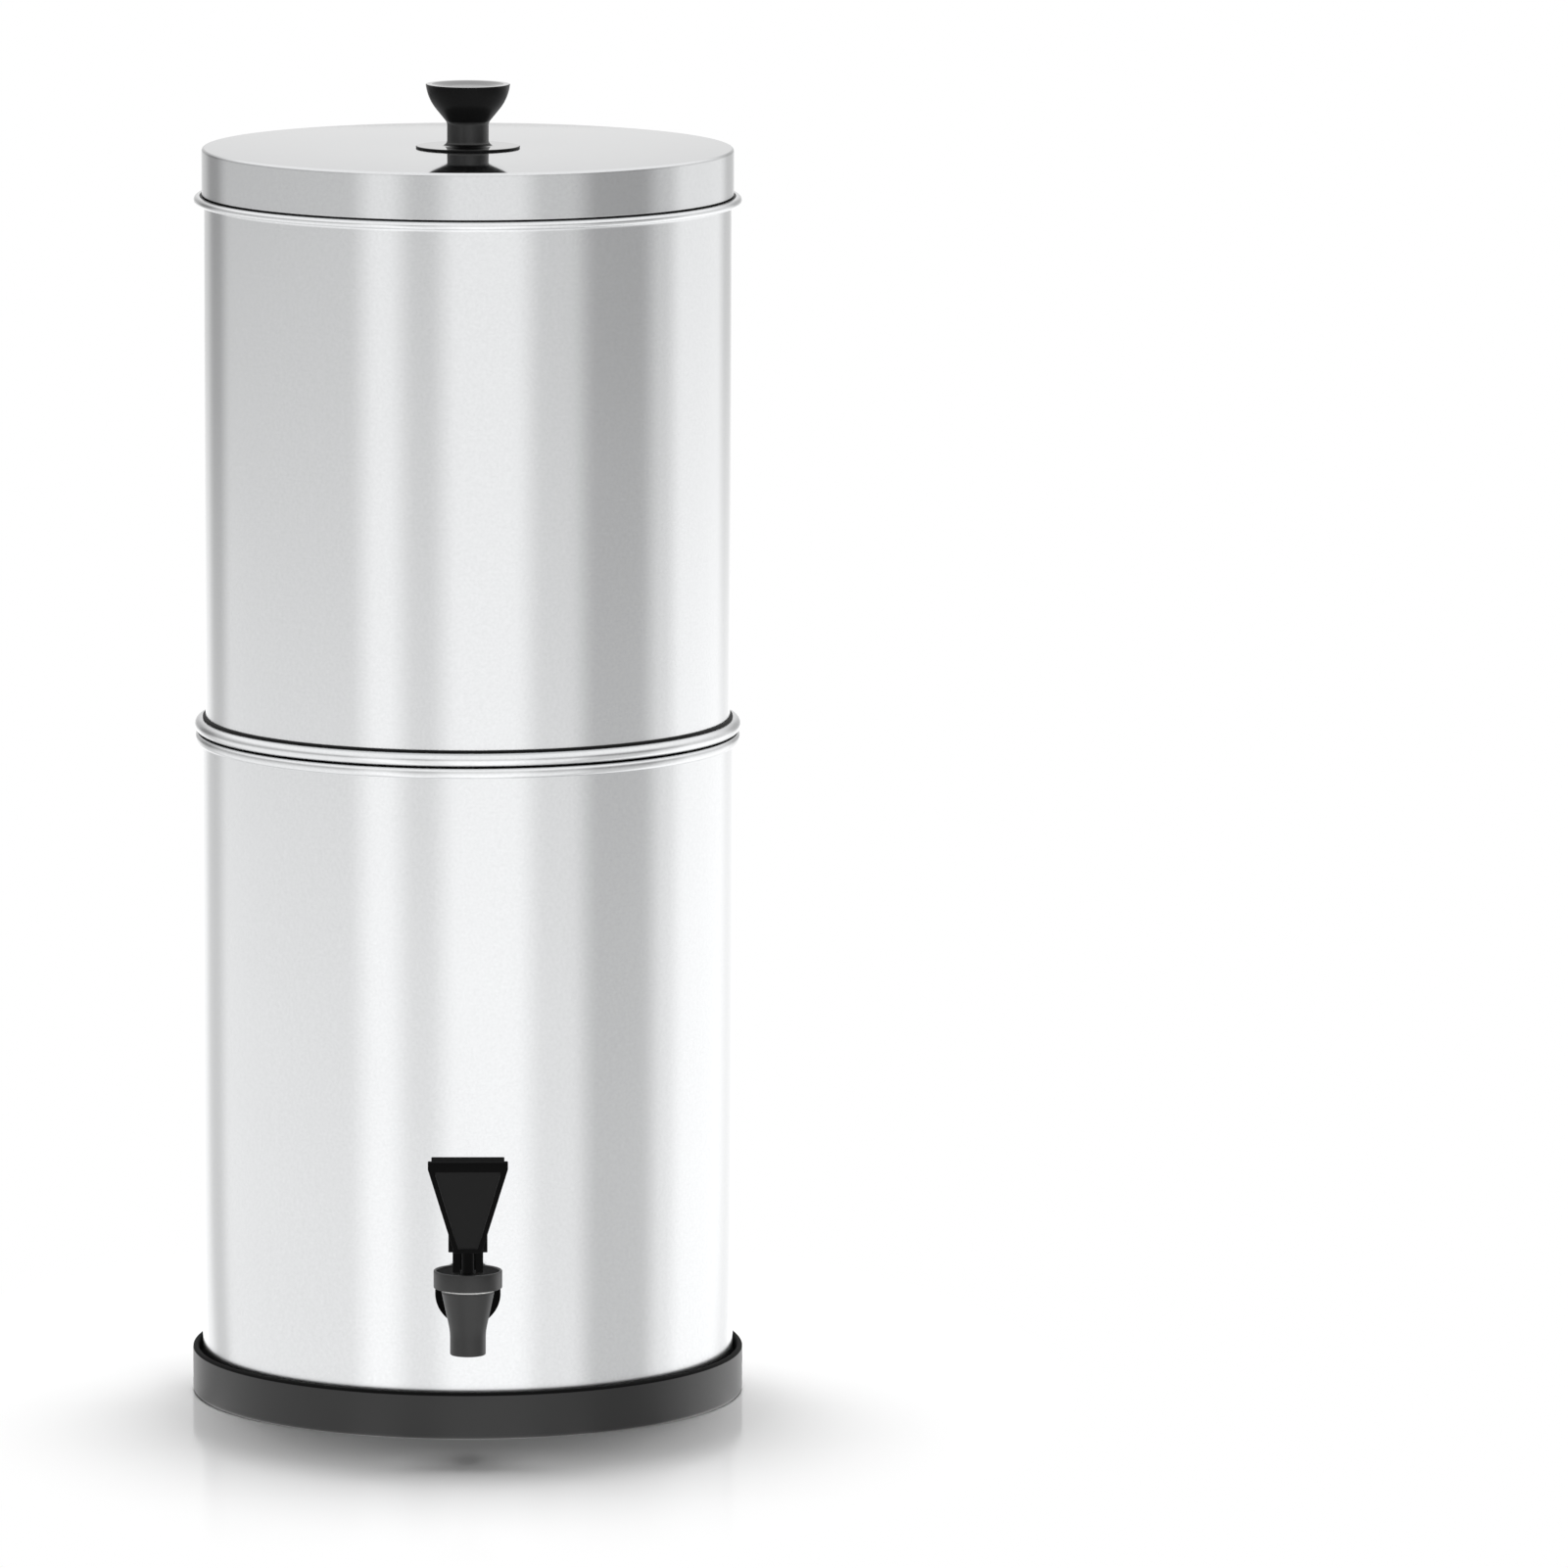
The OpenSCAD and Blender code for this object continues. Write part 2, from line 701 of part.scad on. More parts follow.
module valve_stem() {
    color(black) in_tap() difference() {
        union() {
            translate([0, 0, button_low]) cylinder(r = button_r, h = button_t);
            translate([0, 0, button_low]) cylinder(r = rod_r, h = pin_z - button_low);
            translate([0, 0, pin_z]) rotate([0, 90, 0]) cylinder(d = head_d, h = head_t, center = true);
        }
        translate([0, 0, pin_z]) rotate([0, 90, 0])
            cylinder(r = pin_d / 2 + pin_gap, h = head_t + 2 * over, center = true);
    }
}

module seat_cup() {
    edge = seat_drop - throat_d / 2;
    lip_low = cup_top - cup_lip_h;
    color(silicone) in_tap() rotate_extrude() polygon([
        [0, cup_base],
        [cup_r - edge, cup_base],
        [cup_r, cup_base + edge],
        [cup_r, lip_low - cup_cone_h],
        [cup_lip_r, lip_low],
        [cup_lip_r, cup_top],
        [cup_lip_r - cup_wall, cup_top],
        [cup_lip_r - cup_wall, cup_floor],
        [rod_r, cup_floor],
        [rod_r, button_top],
        [button_r, button_top],
        [button_r, button_low],
        [0, button_low]
    ]);
}

// Middle of the wire at a share of the coil's length
spring_low = cup_floor + wire_d / 2;
spring_high = bonnet_under - wire_d / 2;
function coil_point(share) = [
    coil_d / 2 * cos(360 * coils * share),
    coil_d / 2 * sin(360 * coils * share),
    spring_low + (spring_high - spring_low) * share
];
least_gap = (spring_high - spring_low) / coils
    * cos(atan((spring_high - spring_low) / (coils * PI * coil_d))) - wire_d;
echo(least_gap_between_coils = least_gap);

module return_spring() {
    rings = coils * coil_rings;
    last = rings * wire_sides;
    points = [
        for (i = [0:rings])
            let (c = coil_point(i / rings), turn = 360 * coils * i / rings)
            for (j = [0:wire_sides - 1])
                let (a = 360 * j / wire_sides, out = wire_d / 2 * cos(a))
                c + [out * cos(turn), out * sin(turn), wire_d / 2 * sin(a)]
    ];
    sides = [
        for (i = [0:rings - 1], j = [0:wire_sides - 1])
            let (a = i * wire_sides + j, b = i * wire_sides + (j + 1) % wire_sides)
            each [[a, b, b + wire_sides], [a, b + wire_sides, a + wire_sides]]
    ];
    start = [for (j = [1:wire_sides - 2]) [0, j + 1, j]];
    end = [for (j = [1:wire_sides - 2]) [last, last + j, last + j + 1]];
    color(steel) in_tap() polyhedron(points = points, faces = concat(sides, start, end));
}

// Puts a piece in the lever's own frame, with its origin on the pin
module at_pin() {
    in_tap() translate([0, 0, pin_z]) children();
}

// Place on the leaning blade, from its distances along it and in front of the pin
function blade_point(along, front) =
    along * [-sin(lean), cos(lean)] - front * [cos(lean), sin(lean)];

// Outline of the cam heels, looking along the pin: an involute whose reach from the
// pin grows evenly with the tilt, then the flat heel that holds the lever at rest
function cam_point(tilt) =
    let (reach = cam_r + lift_per_degree * tilt)
    [
        -reach * sin(tilt) - lift_per_radian * cos(tilt),
        -reach * cos(tilt) + lift_per_radian * sin(tilt)
    ];
cam_outline = concat(
    [for (i = [0:arc_steps]) cam_point(open_angle * i / arc_steps)],
    [
        blade_point(0, plate_front - plate_t / 2),
        blade_point(cheek_top, plate_front - plate_t / 2),
        blade_point(cheek_top, 0),
        [heel_back, 0],
        [heel_back, -cam_r]
    ]
);

// A section in the pin's upright plane, extruded evenly to both sides
module across_fork(w) {
    translate([-w / 2, 0, 0]) rotate([90, 0, 90]) linear_extrude(height = w) children();
}

// A section in the plane of the leaning blade, between two depths behind its face
module in_blade(from, to) {
    rotate([lean, 0, 0]) translate([0, from - plate_front, 0]) rotate([-90, 0, 0])
        mirror([0, 1, 0]) linear_extrude(height = to - from) children();
}

// Tapered outline of the blade, set in from its sides, top and lower end
module blade_outline(side_top, side_low, top, low) {
    top_v = plate_l - plate_drop - top;
    shoulder_v = plate_l - plate_drop - plate_shoulder;
    wide = plate_top_w / 2 - side_top;
    narrow = plate_low_w / 2 - side_low;
    polygon([
        [-narrow, low - plate_drop],
        [narrow, low - plate_drop],
        [wide, min(shoulder_v, top_v - plate_shoulder / 2)],
        [wide, top_v],
        [-wide, top_v],
        [-wide, min(shoulder_v, top_v - plate_shoulder / 2)]
    ]);
}

// Room that the rod and its head sweep as the lever tilts, open behind and below
module slot_outline() {
    half = rod_r + slot_gap;
    deep = cam_r + valve_lift + over;
    back = boss_lever_d / 2 + over;
    blade_back = plate_front - blade_t;
    circle(head_d / 2 + slot_gap);
    for (tilt = [0, open_angle])
        rotate(-tilt) translate([-half, -deep]) square([2 * half, deep]);
    polygon([[0, 0], [0, -deep], deep * [-sin(open_angle), -cos(open_angle)]]);
    translate([-blade_back, -deep]) square([blade_back + back, deep + back]);
    rotate(lean) translate([-deep, -plate_drop - deep]) square([2 * deep, deep]);
}

module tap_lever() {
    color(black) at_pin() difference() {
        union() {
            rotate([0, 90, 0]) cylinder(d = boss_lever_d, h = boss_span, center = true);
            across_fork(fork_w) polygon(cam_outline);
            in_blade(0, plate_t) blade_outline(0, 0, 0, 0);
            in_blade(plate_t, blade_t) blade_outline(blade_inset, 0, 0, 0);
        }
        in_blade(-over, panel_depth)
            blade_outline(panel_side_top, panel_side_low, panel_top, panel_low);
        in_blade(plate_t, blade_t + over) difference() {
            blade_outline(blade_inset + hollow_wall, hollow_wall, hollow_wall, hollow_start);
            translate([-rib_t / 2, 0]) square([rib_t, plate_l]);
        }
        across_fork(slot_w) slot_outline();
        rotate([0, 90, 0]) cylinder(d = pin_d, h = boss_span + 2 * over, center = true);
    }
}

module lever_pin() {
    color(steel) at_pin() rotate([0, 90, 0]) cylinder(d = pin_d, h = boss_span, center = true);
}

// Puts a piece of an element in its place, stem down, at the left (-1) or right (1)
module in_element(side) {
    translate([side * element_x, 0, element_z]) rotate([180, 0, 0]) children();
}

// Half section of a cap with chamfered outer edges, from its closed face back
module cap_section(h) {
    r = cap_d / 2;
    polygon([
        [0, 0],
        [r - cap_chamfer, 0],
        [r, -cap_chamfer],
        [r, cap_chamfer - h],
        [r - cap_chamfer, -h],
        [block_d / 2 + glue_gap, -h],
        [block_d / 2 + glue_gap, -cap_floor],
        [0, -cap_floor]
    ]);
}

module filter_block(side) {
    color(black) in_element(side) translate([0, 0, -boss_h - cap_floor - block_len]) difference() {
        cylinder(d = block_d, h = block_len);
        translate([0, 0, -over]) cylinder(d = block_bore, h = block_len + 2 * over);
    }
}

module filter_end_cap(side) {
    color(black) in_element(side) translate([0, 0, -boss_h - element_h]) mirror([0, 0, 1])
        rotate_extrude() cap_section(end_cap_h);
}

module filter_stem_cap(side) {
    color(black) in_element(side) difference() {
        union() {
            translate([0, 0, -boss_h]) rotate_extrude() cap_section(stem_cap_h);
            translate([0, 0, -boss_h]) cylinder(d1 = boss_d, d2 = seal_d + cap_chamfer, h = boss_h);
            cylinder(r = stem_r, h = stem_len);
        }
        translate([0, 0, -boss_h - cap_floor - over])
            cylinder(d = stem_bore, h = boss_h + cap_floor + stem_len + 2 * over);
    }
}

// A ring that fits over the stem
module stem_ring(h) {
    difference() {
        cylinder(d = seal_d, h = h);
        translate([0, 0, -over]) cylinder(r = stem_r + bolt_gap, h = h + 2 * over);
    }
}

module seal_washer(side) {
    color("#B9A48C") in_element(side) stem_ring(seal_h);
}

module stem_spacer(side) {
    color(silicone) in_element(side) translate([0, 0, spacer_z]) stem_ring(spacer_h);
}

// Outline of one wing, set in by a border
module wing_outline(border) {
    side = across(wing_root, wing_tip);
    tip_r = wing_tip_r - border;
    root_r = wing_root_r - border;
    polygon([
        wing_root + root_r * side,
        wing_tip + tip_r * side,
        wing_tip - tip_r * side,
        wing_root - root_r * side
    ]);
    translate(wing_tip) circle(tip_r);
}

module wing_nut(side) {
    hub_r = nut_hub_d / 2;
    color(black) in_element(side) translate([0, 0, nut_z]) difference() {
        union() {
            rotate_extrude() polygon([
                [0, 0],
                [nut_foot_d / 2, 0],
                [nut_foot_d / 2, nut_foot_t],
                [hub_r, nut_flare_h],
                [hub_r, nut_hub_h],
                [0, nut_hub_h]
            ]);
            for (turn = [0, 180])
                rotate(turn) rotate([90, 0, 0]) translate([0, 0, -wing_t / 2])
                    linear_extrude(height = wing_t) wing_outline(0);
        }
        for (turn = [0, 180], face = [0, 1])
            rotate(turn) rotate([90, 0, 0]) mirror([0, 0, face])
                translate([0, 0, wing_t / 2 - wing_recess])
                linear_extrude(height = wing_recess + over) difference() {
                    wing_outline(wing_border);
                    square([hub_r + wing_border, wing_h]);
                }
        translate([0, 0, -over]) cylinder(r = stem_r + bolt_gap, h = nut_hub_h + 2 * over);
    }
}

base_ring();
lower_chamber();
upper_chamber();
seam_gasket();
lid();
knob();
knob_insert();
knob_washer();
knob_screw();
tap_body();
tap_outer_washer();
tap_inner_washer();
tap_nut();
tap_bonnet();
valve_stem();
seat_cup();
return_spring();
tap_lever();
lever_pin();
filter_block(-1);  // filter_block_left
filter_end_cap(-1);  // filter_end_cap_left
filter_stem_cap(-1);  // filter_stem_cap_left
seal_washer(-1);  // seal_washer_left
stem_spacer(-1);  // stem_spacer_left
wing_nut(-1);  // wing_nut_left
filter_block(1);  // filter_block_right
filter_end_cap(1);  // filter_end_cap_right
filter_stem_cap(1);  // filter_stem_cap_right
seal_washer(1);  // seal_washer_right
stem_spacer(1);  // stem_spacer_right
wing_nut(1);  // wing_nut_right
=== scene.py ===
# %% [markdown]
# # A stainless drum water filter with a lever tap
# Two spun steel chambers stand on top of each other on a black rubber ring. Water is poured
# into the upper one, passes through two carbon elements and is drawn from the lower one by
# a small lever tap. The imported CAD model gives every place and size. This lesson models the
# pieces again with fine, smooth surfaces and gives each its finish. All lengths in the
# cells are written in millimetres, as on a drawing, and turned to metres on the way in.

# %% Load the frame
import math

import bpy
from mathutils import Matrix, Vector


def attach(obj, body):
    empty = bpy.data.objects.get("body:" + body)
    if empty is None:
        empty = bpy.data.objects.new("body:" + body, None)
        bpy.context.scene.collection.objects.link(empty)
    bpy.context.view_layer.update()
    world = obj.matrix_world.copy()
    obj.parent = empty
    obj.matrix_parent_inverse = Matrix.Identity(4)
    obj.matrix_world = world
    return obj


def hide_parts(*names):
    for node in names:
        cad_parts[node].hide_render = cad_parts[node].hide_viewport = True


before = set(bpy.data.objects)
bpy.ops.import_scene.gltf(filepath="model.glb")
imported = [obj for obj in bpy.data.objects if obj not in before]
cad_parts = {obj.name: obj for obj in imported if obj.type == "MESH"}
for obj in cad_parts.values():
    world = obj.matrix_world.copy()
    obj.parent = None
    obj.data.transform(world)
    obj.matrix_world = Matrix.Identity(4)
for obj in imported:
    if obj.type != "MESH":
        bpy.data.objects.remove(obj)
bpy.ops.object.select_all(action="DESELECT")
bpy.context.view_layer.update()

# %% [markdown]
# ## Levels and radii
# Every piece is set against the same few heights and radii. They repeat the values of the
# part's source: the beads, the floors and the lid all follow from them.

# %% Levels and radii
SHEET = 0.8
LOWER_R, UPPER_R, LID_R = 108.0, 106.3, 107.3
RING_H, FLOOR_Z, RIM_Z = 19.0, 5.0, 271.0
SUPPORT_Z, BEAD_TOP_Z, UPPER_FLOOR_Z = 271.3, 276.8, 249.3
LID_BEAD_Z, LID_LOW_Z = 485.8, 489.3
LID_TOP_Z, COLLAR_Z, KNOB_H = 508.2, 506.0, 25.7
SHANK_Z, SPOUT_Y, PIN_Z = 59.3, -146.0, 86.1
ELEMENT_X, BOSS_Z = 48.0, 253.1
print("overall height in mm:", LID_TOP_Z + KNOB_H)

# %% [markdown]
# ## Camera
# The photograph looks down on the vessel by about 8 degrees from some 5 m away: the curves
# of the seams grow deeper towards the foot, and their depths give the distance. The camera
# is pitched first and then turned about its own upright axis, by the angle that puts the
# vessel in the left part of the frame. In that order its walls stay exactly upright.

# %% Camera
camera = bpy.data.objects.new("photo_camera", bpy.data.cameras.new("photo_camera"))
bpy.context.collection.objects.link(camera)
camera.location = (0, -5.333, 1.021)
camera.rotation_mode = "YXZ"
camera.rotation_euler = (math.radians(90 - 8.237), math.radians(-1.364), 0)
camera.data.sensor_width = 36
camera.data.lens = 304.8
camera.data.clip_end = 100
bpy.context.scene.camera = camera
print("camera distance in m:", round(camera.location.length, 3))

# %% [markdown]
# ## Working by hand in code
# An operator acts on whatever is selected, so each step first picks its faces or edges by
# their place or normal. These few helpers do that, and hand each finished piece to the
# body that it moves with.

# %% Helpers for picking and finishing
def select_only(*pieces):
    """Leaves edit mode, selects these pieces and makes the first one active."""
    if bpy.context.mode != "OBJECT":
        bpy.ops.object.mode_set(mode="OBJECT")
    bpy.ops.object.select_all(action="DESELECT")
    for piece in pieces:
        piece.select_set(True)
    bpy.context.view_layer.objects.active = pieces[0]


def start_piece(name):
    """Names the primitive that was just added and sets its place into its mesh."""
    piece = bpy.context.object
    piece.name = piece.data.name = name
    bpy.ops.object.transform_apply(location=True, rotation=True, scale=True)
    return piece


def set_down(piece, turn=(0, 0, 0), place=(0, 0, 0)):
    """Turns a piece about the origin, moves it and sets both into its mesh."""
    select_only(piece)
    piece.rotation_euler = [math.radians(a) for a in turn]
    piece.location = [v / 1000 for v in place]
    bpy.ops.object.transform_apply(location=True, rotation=True, scale=True)
    return piece


def copy_piece(piece, name, turn=(0, 0, 0), place=(0, 0, 0)):
    """A copy with its own mesh, turned and moved."""
    copy = piece.copy()
    copy.data = piece.data.copy()
    copy.name = copy.data.name = name
    bpy.context.collection.objects.link(copy)
    return set_down(copy, turn, place)


def pick(piece, kind, rule):
    """Leaves edit mode on with only those vertices, edges or faces selected that the rule takes."""
    select_only(piece)
    bpy.ops.object.mode_set(mode="EDIT")
    bpy.ops.mesh.select_mode(type=kind)
    bpy.ops.mesh.select_all(action="DESELECT")
    bpy.ops.object.mode_set(mode="OBJECT")
    mesh = piece.data
    points = [v.co * 1000 for v in mesh.vertices]
    if kind == "FACE":
        for face in mesh.polygons:
            face.select = bool(rule(face.center * 1000, face.normal))
    elif kind == "EDGE":
        for edge in mesh.edges:
            edge.select = bool(rule(points[edge.vertices[0]], points[edge.vertices[1]]))
    else:
        for vertex in mesh.vertices:
            vertex.select = bool(rule(points[vertex.index]))
    bpy.ops.object.mode_set(mode="EDIT")


def close_up(piece, merge=True):
    """Merges doubled points and turns all faces outwards."""
    select_only(piece)
    bpy.ops.object.mode_set(mode="EDIT")
    bpy.ops.mesh.select_all(action="SELECT")
    if merge:
        bpy.ops.mesh.remove_doubles(threshold=0.000004)
    bpy.ops.mesh.normals_make_consistent(inside=False)
    bpy.ops.object.mode_set(mode="OBJECT")


def modify(piece, kind, **settings):
    """Adds a modifier and applies it at once."""
    select_only(piece)
    modifier = piece.modifiers.new(kind.lower(), kind)
    for key, value in settings.items():
        setattr(modifier, key, value)
    bpy.ops.object.modifier_apply(modifier=modifier.name)


def combine(piece, other, way):
    """Adds (UNION) or cuts away (DIFFERENCE) another solid, which is then taken away."""
    modify(piece, "BOOLEAN", object=other, operation=way, solver="EXACT")
    bpy.data.objects.remove(other)
    return piece


def round_edges(piece, width, steps=3):
    """Rounds all sharp edges by a small radius, as a mould's or a tool's do."""
    modify(piece, "BEVEL", width=width / 1000, segments=steps, limit_method="ANGLE",
           angle_limit=math.radians(30), use_clamp_overlap=True)
    return piece


def hand_over(piece, body, material, stands_for=(), smooth=30):
    """Smooths a finished piece, gives it its finish and lets it ride on a body."""
    select_only(piece)
    bpy.ops.object.shade_smooth_by_angle(angle=math.radians(smooth))
    piece.data.materials.clear()
    piece.data.materials.append(material)
    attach(piece, body)
    if stands_for:
        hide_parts(*stands_for)
    bpy.ops.object.select_all(action="DESELECT")
    print(piece.name, "faces:", len(piece.data.polygons))


# %% [markdown]
# ## Turned and spun shapes
# Most pieces here were made on a lathe, spun over a form or moulded round. In Blender such
# a shape grows from one circle: its edge is extruded up and scaled, ring by ring, along
# the outline. The Spin tool would do the same from a drawn section, but rings stay exactly
# round and keep their edges ready for bevels.

# %% Helpers for round shapes
def arc(cx, cz, r, start, end, steps=8):
    """Points of an arc in the section plane, angles from the outward direction."""
    turns = [math.radians(start + (end - start) * i / steps) for i in range(steps + 1)]
    return [(cx + r * math.cos(a), cz + r * math.sin(a)) for a in turns]


def turn_shape(name, outline, sides=96, start_cap=True, end_cap=True):
    """Pulls a circle along an outline of (radius, height) points in millimetres."""
    r, z = outline[0]
    bpy.ops.object.select_all(action="DESELECT")
    bpy.ops.mesh.primitive_circle_add(
        vertices=sides, radius=r / 1000, fill_type="NGON" if start_cap else "NOTHING",
        location=(0, 0, z / 1000))
    piece = start_piece(name)
    pick(piece, "EDGE", lambda a, b: True)
    if start_cap:
        bpy.ops.mesh.select_all(action="DESELECT")
        bpy.ops.mesh.select_mode(type="EDGE")
        bpy.ops.mesh.select_non_manifold(extend=False)
    for (r0, z0), (r1, z1) in zip(outline, outline[1:]):
        bpy.ops.mesh.extrude_region_move(
            TRANSFORM_OT_translate={"value": (0, 0, (z1 - z0) / 1000)})
        bpy.ops.transform.resize(value=(r1 / r0, r1 / r0, 1), center_override=(0, 0, z1 / 1000))
    if end_cap:
        bpy.ops.mesh.edge_face_add()
    close_up(piece)
    return piece


def closed_ring(name, outline, sides=96):
    """A ring whose section is closed: the last circle falls on the first and is merged with it."""
    return turn_shape(name, list(outline) + [outline[0]], sides, False, False)


def drill(piece, radius, low, high, place=(0, 0), lying=False):
    """Cuts a round hole along the upright axis, or along the tap's shank where it is lying."""
    bpy.ops.object.select_all(action="DESELECT")
    middle = (low + high) / 2
    where = (place[0], middle, place[1]) if lying else (place[0], place[1], middle)
    bpy.ops.mesh.primitive_cylinder_add(
        vertices=96, radius=radius / 1000, depth=(high - low) / 1000,
        location=[v / 1000 for v in where], rotation=(math.radians(90) if lying else 0, 0, 0))
    return combine(piece, start_piece("hole_cutter"), "DIFFERENCE")


def wind_thread(name, radius, depth, pitch, low, high):
    """One helical ridge: a triangle on the thread's flank, wound up by the Screw modifier."""
    rise = pitch * 0.48 / math.cos(math.radians(30))
    bpy.ops.object.select_all(action="DESELECT")
    bpy.ops.mesh.primitive_circle_add(
        vertices=3, radius=rise / 1000, fill_type="NOTHING",
        rotation=(math.radians(90), math.radians(90), 0),
        location=((radius - depth / 1.5 - 0.02) / 1000, 0, low / 1000))
    ridge = bpy.context.object
    ridge.scale = (1, depth / (1.5 * rise), 1)
    ridge = start_piece(name)
    modify(ridge, "SCREW", axis="Z", screw_offset=pitch / 1000, steps=40, render_steps=40,
           iterations=int((high - low) / pitch), use_merge_vertices=False)
    select_only(ridge)
    bpy.ops.object.mode_set(mode="EDIT")
    bpy.ops.mesh.select_all(action="SELECT")
    bpy.ops.mesh.remove_doubles(threshold=0.000002)
    bpy.ops.mesh.fill_holes(sides=4)
    bpy.ops.object.mode_set(mode="OBJECT")
    close_up(ridge, merge=False)
    return ridge


# %% [markdown]
# ## Finishes: one way to wire them
# Each finish is a small node tree on Object coordinates, so its grain keeps its real size
# and sticks to the piece. Colours are written as sRGB hex and turned to linear here, and
# one function adds a node, sets it and links it.

# %% Helpers for finishes
def colour(code):
    """Linear colour of an sRGB hex code."""
    parts = [int(code[i:i + 2], 16) / 255 for i in (1, 3, 5)]
    return [c / 12.92 if c < 0.04045 else ((c + 0.055) / 1.055) ** 2.4 for c in parts] + [1]


def new_finish(name, **sockets):
    """A material with its shader's own sockets set."""
    finish = bpy.data.materials.new(name)
    finish.use_nodes = True
    shader = finish.node_tree.nodes["Principled BSDF"]
    for key, value in sockets.items():
        shader.inputs[key.replace("_", " ")].default_value = value
    return finish, shader


def add(finish, kind, inputs=None, **settings):
    """Adds a node; an input is a value, or the output socket that feeds it."""
    node = finish.node_tree.nodes.new(kind)
    for key, value in settings.items():
        setattr(node, key, value)
    for key, value in (inputs or {}).items():
        if isinstance(value, bpy.types.NodeSocket):
            finish.node_tree.links.new(value, node.inputs[key])
        else:
            node.inputs[key].default_value = value
    return node


def feed(finish, output, socket):
    finish.node_tree.links.new(output, socket)


def moulded(name, base, roughness, grain_mm, depth_mm, tone=0.1, patch_mm=12, **sockets):
    """A moulded or pressed finish: fine grain as bump, and soft patches in tone and gloss."""
    finish, shader = new_finish(name, Base_Color=colour(base), Roughness=roughness, **sockets)
    place = add(finish, "ShaderNodeTexCoord").outputs["Object"]
    grain = add(finish, "ShaderNodeTexNoise", {
        "Vector": place, "Scale": 1000 / grain_mm, "Detail": 3.0, "Roughness": 0.6})
    patch = add(finish, "ShaderNodeTexNoise", {
        "Vector": place, "Scale": 1000 / patch_mm, "Detail": 2.0})
    tint = add(finish, "ShaderNodeMix", {
        0: patch.outputs["Fac"], 6: [c * (1 - tone) for c in colour(base)[:3]] + [1],
        7: [min(1, c * (1 + tone)) for c in colour(base)[:3]] + [1]}, data_type="RGBA")
    gloss = add(finish, "ShaderNodeMapRange", {
        "Value": grain.outputs["Fac"], "To Min": roughness * 0.88, "To Max": roughness * 1.12})
    bump = add(finish, "ShaderNodeBump", {
        "Height": grain.outputs["Fac"], "Strength": 0.5, "Distance": depth_mm / 1000})
    feed(finish, tint.outputs[2], shader.inputs["Base Color"])
    feed(finish, gloss.outputs["Result"], shader.inputs["Roughness"])
    feed(finish, bump.outputs[0], shader.inputs["Normal"])
    return finish


# %% [markdown]
# ## Spun stainless steel
# The chambers and the lid are 304 stainless sheet, spun and then polished on the turning
# work, which leaves very fine lines round the axis. Such lines spread a reflection up and
# down but keep it narrow from side to side, so the wall shows upright bands of light.
# That is anisotropy with a tangent that runs round the axis. Real lines are a few
# hundredths of a millimetre apart, too fine for the render, so they are drawn 0.5 mm apart.

# %% Finish: spun and turned metal
def turned_metal(name, base, roughness, line_mm=0.5, line_depth=0.1, lay=0.9):
    finish, shader = new_finish(
        name, Base_Color=colour(base), Metallic=1.0, Roughness=roughness,
        Anisotropic=lay, Anisotropic_Rotation=0.25)
    place = add(finish, "ShaderNodeTexCoord").outputs["Object"]
    axes = add(finish, "ShaderNodeSeparateXYZ", {0: place}).outputs
    turn = add(finish, "ShaderNodeMath", {0: axes[1], 1: axes[0]}, operation="ARCTAN2").outputs[0]
    away = add(finish, "ShaderNodeVectorMath",
               {0: add(finish, "ShaderNodeCombineXYZ", {0: axes[0], 1: axes[1]}).outputs[0]},
               operation="LENGTH").outputs["Value"]
    round_way = add(finish, "ShaderNodeMath", {0: turn, 1: 1.6}, operation="MULTIPLY").outputs[0]
    lines_in_m = 1000 / line_mm
    up = add(finish, "ShaderNodeMath", {0: axes[2], 1: lines_in_m}, operation="MULTIPLY").outputs[0]
    out = add(finish, "ShaderNodeMath", {0: away, 1: lines_in_m}, operation="MULTIPLY").outputs[0]
    lines_at = add(finish, "ShaderNodeCombineXYZ", {0: round_way, 1: up, 2: out}).outputs[0]
    lines = add(finish, "ShaderNodeTexNoise", {"Vector": lines_at, "Scale": 1.0, "Detail": 2.0})
    speck = add(finish, "ShaderNodeTexNoise", {"Vector": place, "Scale": 900.0, "Detail": 1.0})
    cloud = add(finish, "ShaderNodeTexNoise", {"Vector": place, "Scale": 14.0, "Detail": 1.0})
    rough = add(finish, "ShaderNodeMapRange", {
        "Value": cloud.outputs["Fac"], "To Min": roughness - 0.02, "To Max": roughness + 0.02},
        clamp=False)
    feed(finish, rough.outputs["Result"], shader.inputs["Roughness"])
    tone = add(finish, "ShaderNodeMix", {
        0: speck.outputs["Fac"], 6: [c * 0.95 for c in colour(base)[:3]] + [1],
        7: [min(1, c * 1.05) for c in colour(base)[:3]] + [1]}, data_type="RGBA")
    feed(finish, tone.outputs[2], shader.inputs["Base Color"])
    bump = add(finish, "ShaderNodeBump", {
        "Height": lines.outputs["Fac"], "Strength": line_depth, "Distance": 0.00005})
    feed(finish, bump.outputs[0], shader.inputs["Normal"])
    grain = add(finish, "ShaderNodeTangent", direction_type="RADIAL", axis="Z")
    feed(finish, grain.outputs[0], shader.inputs["Tangent"])
    return finish


def finish_faces(piece, finish, rule):
    """Gives the faces that the rule takes a finish of their own."""
    piece.data.materials.append(finish)
    taken = [f for f in piece.data.polygons if rule(f.center * 1000, f.normal)]
    for face in taken:
        face.material_index = len(piece.data.materials) - 1
    print(piece.name, "faces in", finish.name + ":", len(taken))


